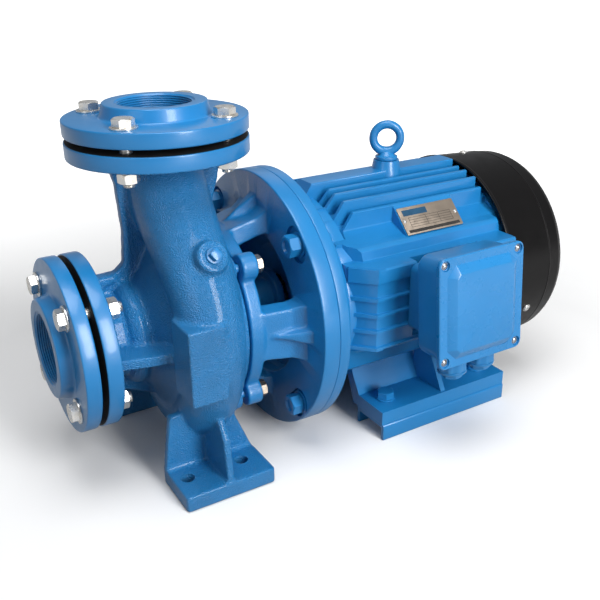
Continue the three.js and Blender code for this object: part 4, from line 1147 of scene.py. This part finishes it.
def foot_bolts():
    top = -115.4
    places = [(x, side * MOTOR_FOOT_Y, 0) for side in (-1, 1) for x in MOTOR_FOOT_X]
    for i, place in enumerate(places, 1):
        bolt = merged(rod("z", 5.9, -148, top + 2, segments=32),
                      moved(tube("z", 6.4, 11.4, 0, 1.9, segments=44, edge=.4), (0, 0, top)),
                      moved(hexagon(18.4, 8.2), (0, 0, top + 1.9)),
                      placed(hexagon(18.6, 9.6, .94, both=True), (0, 0, -137), (0, 0, -1), .4 * i),
                      thread(5.9, 1.75, -151, -146))
        stand_in(moved(bolt, place), "foot_bolt_%d" % i, SMOOTH, sharp=30)


# ------------------------------------------------------------------ rotating and hidden parts
def shaft_sleeve():
    profile = [(67.3, 14.4), (67.3, 20.6, .6), (70, 21.5, .6), (116.5, 21.5, 1.5),
               (117.5, 30, 1.5), (126, 31, 1), (126, 19.4), (117.6, 19.4, 0), (117.6, 14.4, 0)]
    stand_in(lathe(profile, "x", 96, radius=.5), "shaft_sleeve", SMOOTH, body=ROTOR)


def casing_cover():
    profile = [(26, 30), (26, 76), (32.7, 77.8), (32.7, 83.6), (46, 83.6), (46, 61.5), (58, 61),
               (58, 44), (66, 40), (66, 18), (60, 18), (60, 30)]
    stand_in(lathe(profile, radius=1, steps=2), "casing_cover", IRON)


def seal_rings():
    for name, axis, face, outward in FLANGES:
        ends = sorted((face + outward * 2, face + outward * (FLANGE_GAP - 2)))
        stand_in(tube(axis, 35, 58, *ends, edge=.3), name + "_gasket", RUBBER)
    stand_in(tube("x", 38.4, 47.7, -35.7, -22.5, edge=.6), "wear_ring", BRONZE)


def vane(k):
    """One of six backswept vanes, between the shroud and the hub disc."""
    sides = []
    for side in (0, 1):
        row = []
        for s in np.linspace(0, 1, 14):
            radius = 33 + 36 * s
            thickness = 6.2 - 2.6 * s if side else 0
            angle = math.radians(k * 60 + 7 - 55 * s ** 0.85 + thickness)
            row.append((radius * math.cos(angle), radius * math.sin(angle), s))
        sides.append(row)
    loop = sides[0][::-1] + sides[1]
    return skin([[(-20.5 + 12 * s, y, z) for y, z, s in loop],
                 [(3.5 + 6.2 * s, y, z) for y, z, s in loop]])


def impeller():
    hub = lathe([(-28, 12.2), (-28, 17, 1), (-12, 20, 8), (6, 40, 12), (9, 70, .5), (13, 70, .5),
                 (13, 24, 2), (24, 20, 1), (24, 12.2)], radius=.5, steps=4)
    shroud = lathe([(-34, 33), (-34, 38, .5), (-22, 38, 2), (-16, 50, 4), (-10, 70, .5),
                    (-6, 70, .5), (-10, 50, 4), (-18, 36, 4), (-24, 33)], radius=.5, steps=4)
    stand_in(merged(hub, shroud, *[vane(k) for k in range(6)]), "impeller", BRONZE, body=ROTOR,
             sharp=40)
    dome = [(-44, 0), (-44, 8, 3), (-40, 10.6, 2), (-37.5, 10.6, 0), (-37.5, 0)]
    nut = merged(placed(hexagon(22, 9.8), (-28.2, 0, 0), (-1, 0, 0)),
                 lathe(dome, "x", 48, steps=4))
    stand_in(nut, "impeller_nut", STEEL, body=ROTOR, sharp=32)


def cooling_fan():
    blade = prism([(-2, 27), (2, 27), (1.6, 102), (-1.6, 102)], "x", 411, 444, .8, 2)
    shells = [tube("x", 16.3, 28, 408, 446, segments=64, edge=1),
              tube("x", 27, 100, 408, 412, segments=96, edge=1)]
    shells += [turned_x(blade, 60 * k) for k in range(6)]
    stand_in(merged(*shells), "cooling_fan", PLASTIC, body=ROTOR)


# CAD parts that keep their own meshes
CAD_FINISHES = (
    (LAMINATED, ("stator_core", "rotor_core")),
    (COPPER, ("winding_drive_end", "winding_fan_end")),
    (STEEL, ("bearing_drive_end_outer", "bearing_fan_end_outer", "bearing_drive_end_inner",
             "bearing_fan_end_inner", "motor_shaft", "impeller_key", "seal_rotating")),
    (CERAMIC, ("seal_stationary",)),
    (RUBBER, ("casing_gasket",)),
    (PLASTIC, ("terminal_block",)),
)


def finish_cad_parts():
    for material, names in CAD_FINISHES:
        for name in names:
            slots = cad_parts[name].data.materials
            slots.clear()
            slots.append(material)


volute_casing()
casing_plugs()
for flange_spec in FLANGES:
    companion(*flange_spec)
for flange_spec in FLANGES:
    flange_bolts(*flange_spec)
lantern()
casing_studs()
motor_flange_bolts()
flange_end_shield()
motor_frame()
rear_end_shield()
fan_cowl()
cowl_screws()
terminal_box()
terminal_cover()
cable_glands()
nameplate()
eye_bolt()
rails()
foot_bolts()
shaft_sleeve()
casing_cover()
seal_rings()
impeller()
cooling_fan()
finish_cad_parts()


# ------------------------------------------------------------------ floor, lights, camera; metres
def studio_floor():
    """Pale to the camera, dark to bounced light, and running out to white far away."""
    material, tree, surface = new_shader("studio_floor")
    rays = tree.nodes.new("ShaderNodeLightPath").outputs
    seen = maths(tree, "MAXIMUM", rays["Is Camera Ray"],
                 maths(tree, "MULTIPLY", rays["Is Glossy Ray"], 0.5))
    pale = mix(tree, remap(tree, noise(tree, scale=3), between=(0.3, 0.7)),
               (0.90, 0.90, 0.90), (0.93, 0.93, 0.93))
    feed(tree, mix(tree, seen, (0.22, 0.22, 0.22), pale), surface.inputs["Base Color"])
    surface.inputs["Roughness"].default_value = 0.85
    surface.inputs["Specular IOR Level"].default_value = 0.1
    distance = tree.nodes.new("ShaderNodeVectorMath")
    distance.operation = "LENGTH"
    feed(tree, tree.nodes.new("ShaderNodeTexCoord").outputs["Object"], distance.inputs[0])
    surface.inputs["Emission Color"].default_value = (1, 1, 1, 1)
    far = remap(tree, distance.outputs["Value"], between=(0.5, 1.6))
    feed(tree, maths(tree, "MULTIPLY", far, seen), surface.inputs["Emission Strength"])
    mesh = bpy.data.meshes.new("studio_floor")
    half = 30
    mesh.from_pydata([(x, y, 0) for x, y in rect(-half, half, -half, half)], [], [(0, 1, 2, 3)])
    mesh.materials.append(material)
    floor = bpy.data.objects.new("studio_floor", mesh)
    scene.collection.objects.link(floor)
    floor.location.z = -0.0004


def area_light(name, location, target, size, power, height=None):
    light = bpy.data.lights.new(name, "AREA")
    light.shape, light.size, light.energy = "SQUARE", size, power
    if height:
        light.shape, light.size_y = "RECTANGLE", height
    lamp = bpy.data.objects.new(name, light)
    scene.collection.objects.link(lamp)
    lamp.location = location
    aim = Vector(target) - Vector(location)
    lamp.rotation_euler = aim.to_track_quat("-Z", "Y").to_euler()


def studio_world():
    """White to the camera, a faint cool light to everything else."""
    world = bpy.data.worlds.new("studio")
    scene.world = world
    world.use_nodes = True
    tree = world.node_tree
    ambient = tree.nodes["Background"]
    rays = tree.nodes.new("ShaderNodeLightPath").outputs
    white = tree.nodes.new("ShaderNodeBackground")
    white.inputs["Color"].default_value = (1, 1, 1, 1)
    white.inputs["Strength"].default_value = 1.0
    ambient.inputs["Color"].default_value = (0.93, 0.96, 1, 1)
    strength = remap(tree, rays["Is Glossy Ray"], between=(0, 1), to=(0.17, 0.30))
    feed(tree, strength, ambient.inputs["Strength"])
    blend = tree.nodes.new("ShaderNodeMixShader")
    for index, output in enumerate((rays["Is Camera Ray"], ambient.outputs[0],
                                    white.outputs[0])):
        feed(tree, output, blend.inputs[index])
    feed(tree, blend.outputs[0], tree.nodes["World Output"].inputs[0])
    scene.view_settings.view_transform = "Standard"
    scene.view_settings.look = "None"


def photo_camera():
    azimuth, elevation, roll = (math.radians(a) for a in (-30.653, 23.746, -0.761))
    x, y, z = -289.993, -765.938, 374.587    # shaft frame, mm
    back = Vector((math.sin(azimuth) * math.cos(elevation),
                   -math.cos(azimuth) * math.cos(elevation), math.sin(elevation)))
    level = Vector((math.cos(azimuth), math.sin(azimuth), 0))
    upright = back.cross(level)
    right = math.cos(roll) * level + math.sin(roll) * upright
    up = -math.sin(roll) * level + math.cos(roll) * upright
    place = Vector(((x + ORIGIN_X) / 1000, (y + ORIGIN_Y) / 1000, (z + ORIGIN_Z) / 1000))
    data = bpy.data.cameras.new("photo_camera")
    data.lens, data.sensor_width, data.clip_start = 48.24216, 36, 0.02
    camera = bpy.data.objects.new("photo_camera", data)
    scene.collection.objects.link(camera)
    camera.matrix_world = Matrix([(right[i], up[i], back[i], place[i]) for i in range(3)]
                                 + [(0, 0, 0, 1)])
    scene.camera = camera


studio_floor()
area_light("key_front", (0.35, -2.25, 1.15), (0.05, 0, 0.2), size=0.7, power=66, height=1.9)
area_light("top_soft", (-0.2, -0.4, 2.4), (0, 0, 0.15), size=1.4, power=34)
area_light("left_fill", (-2.2, -1.0, 0.9), (-0.1, 0, 0.2), size=1.2, power=6)
area_light("back_rim", (0.9, 1.9, 1.6), (0.1, 0, 0.2), size=1.2, power=2)
studio_world()
photo_camera()
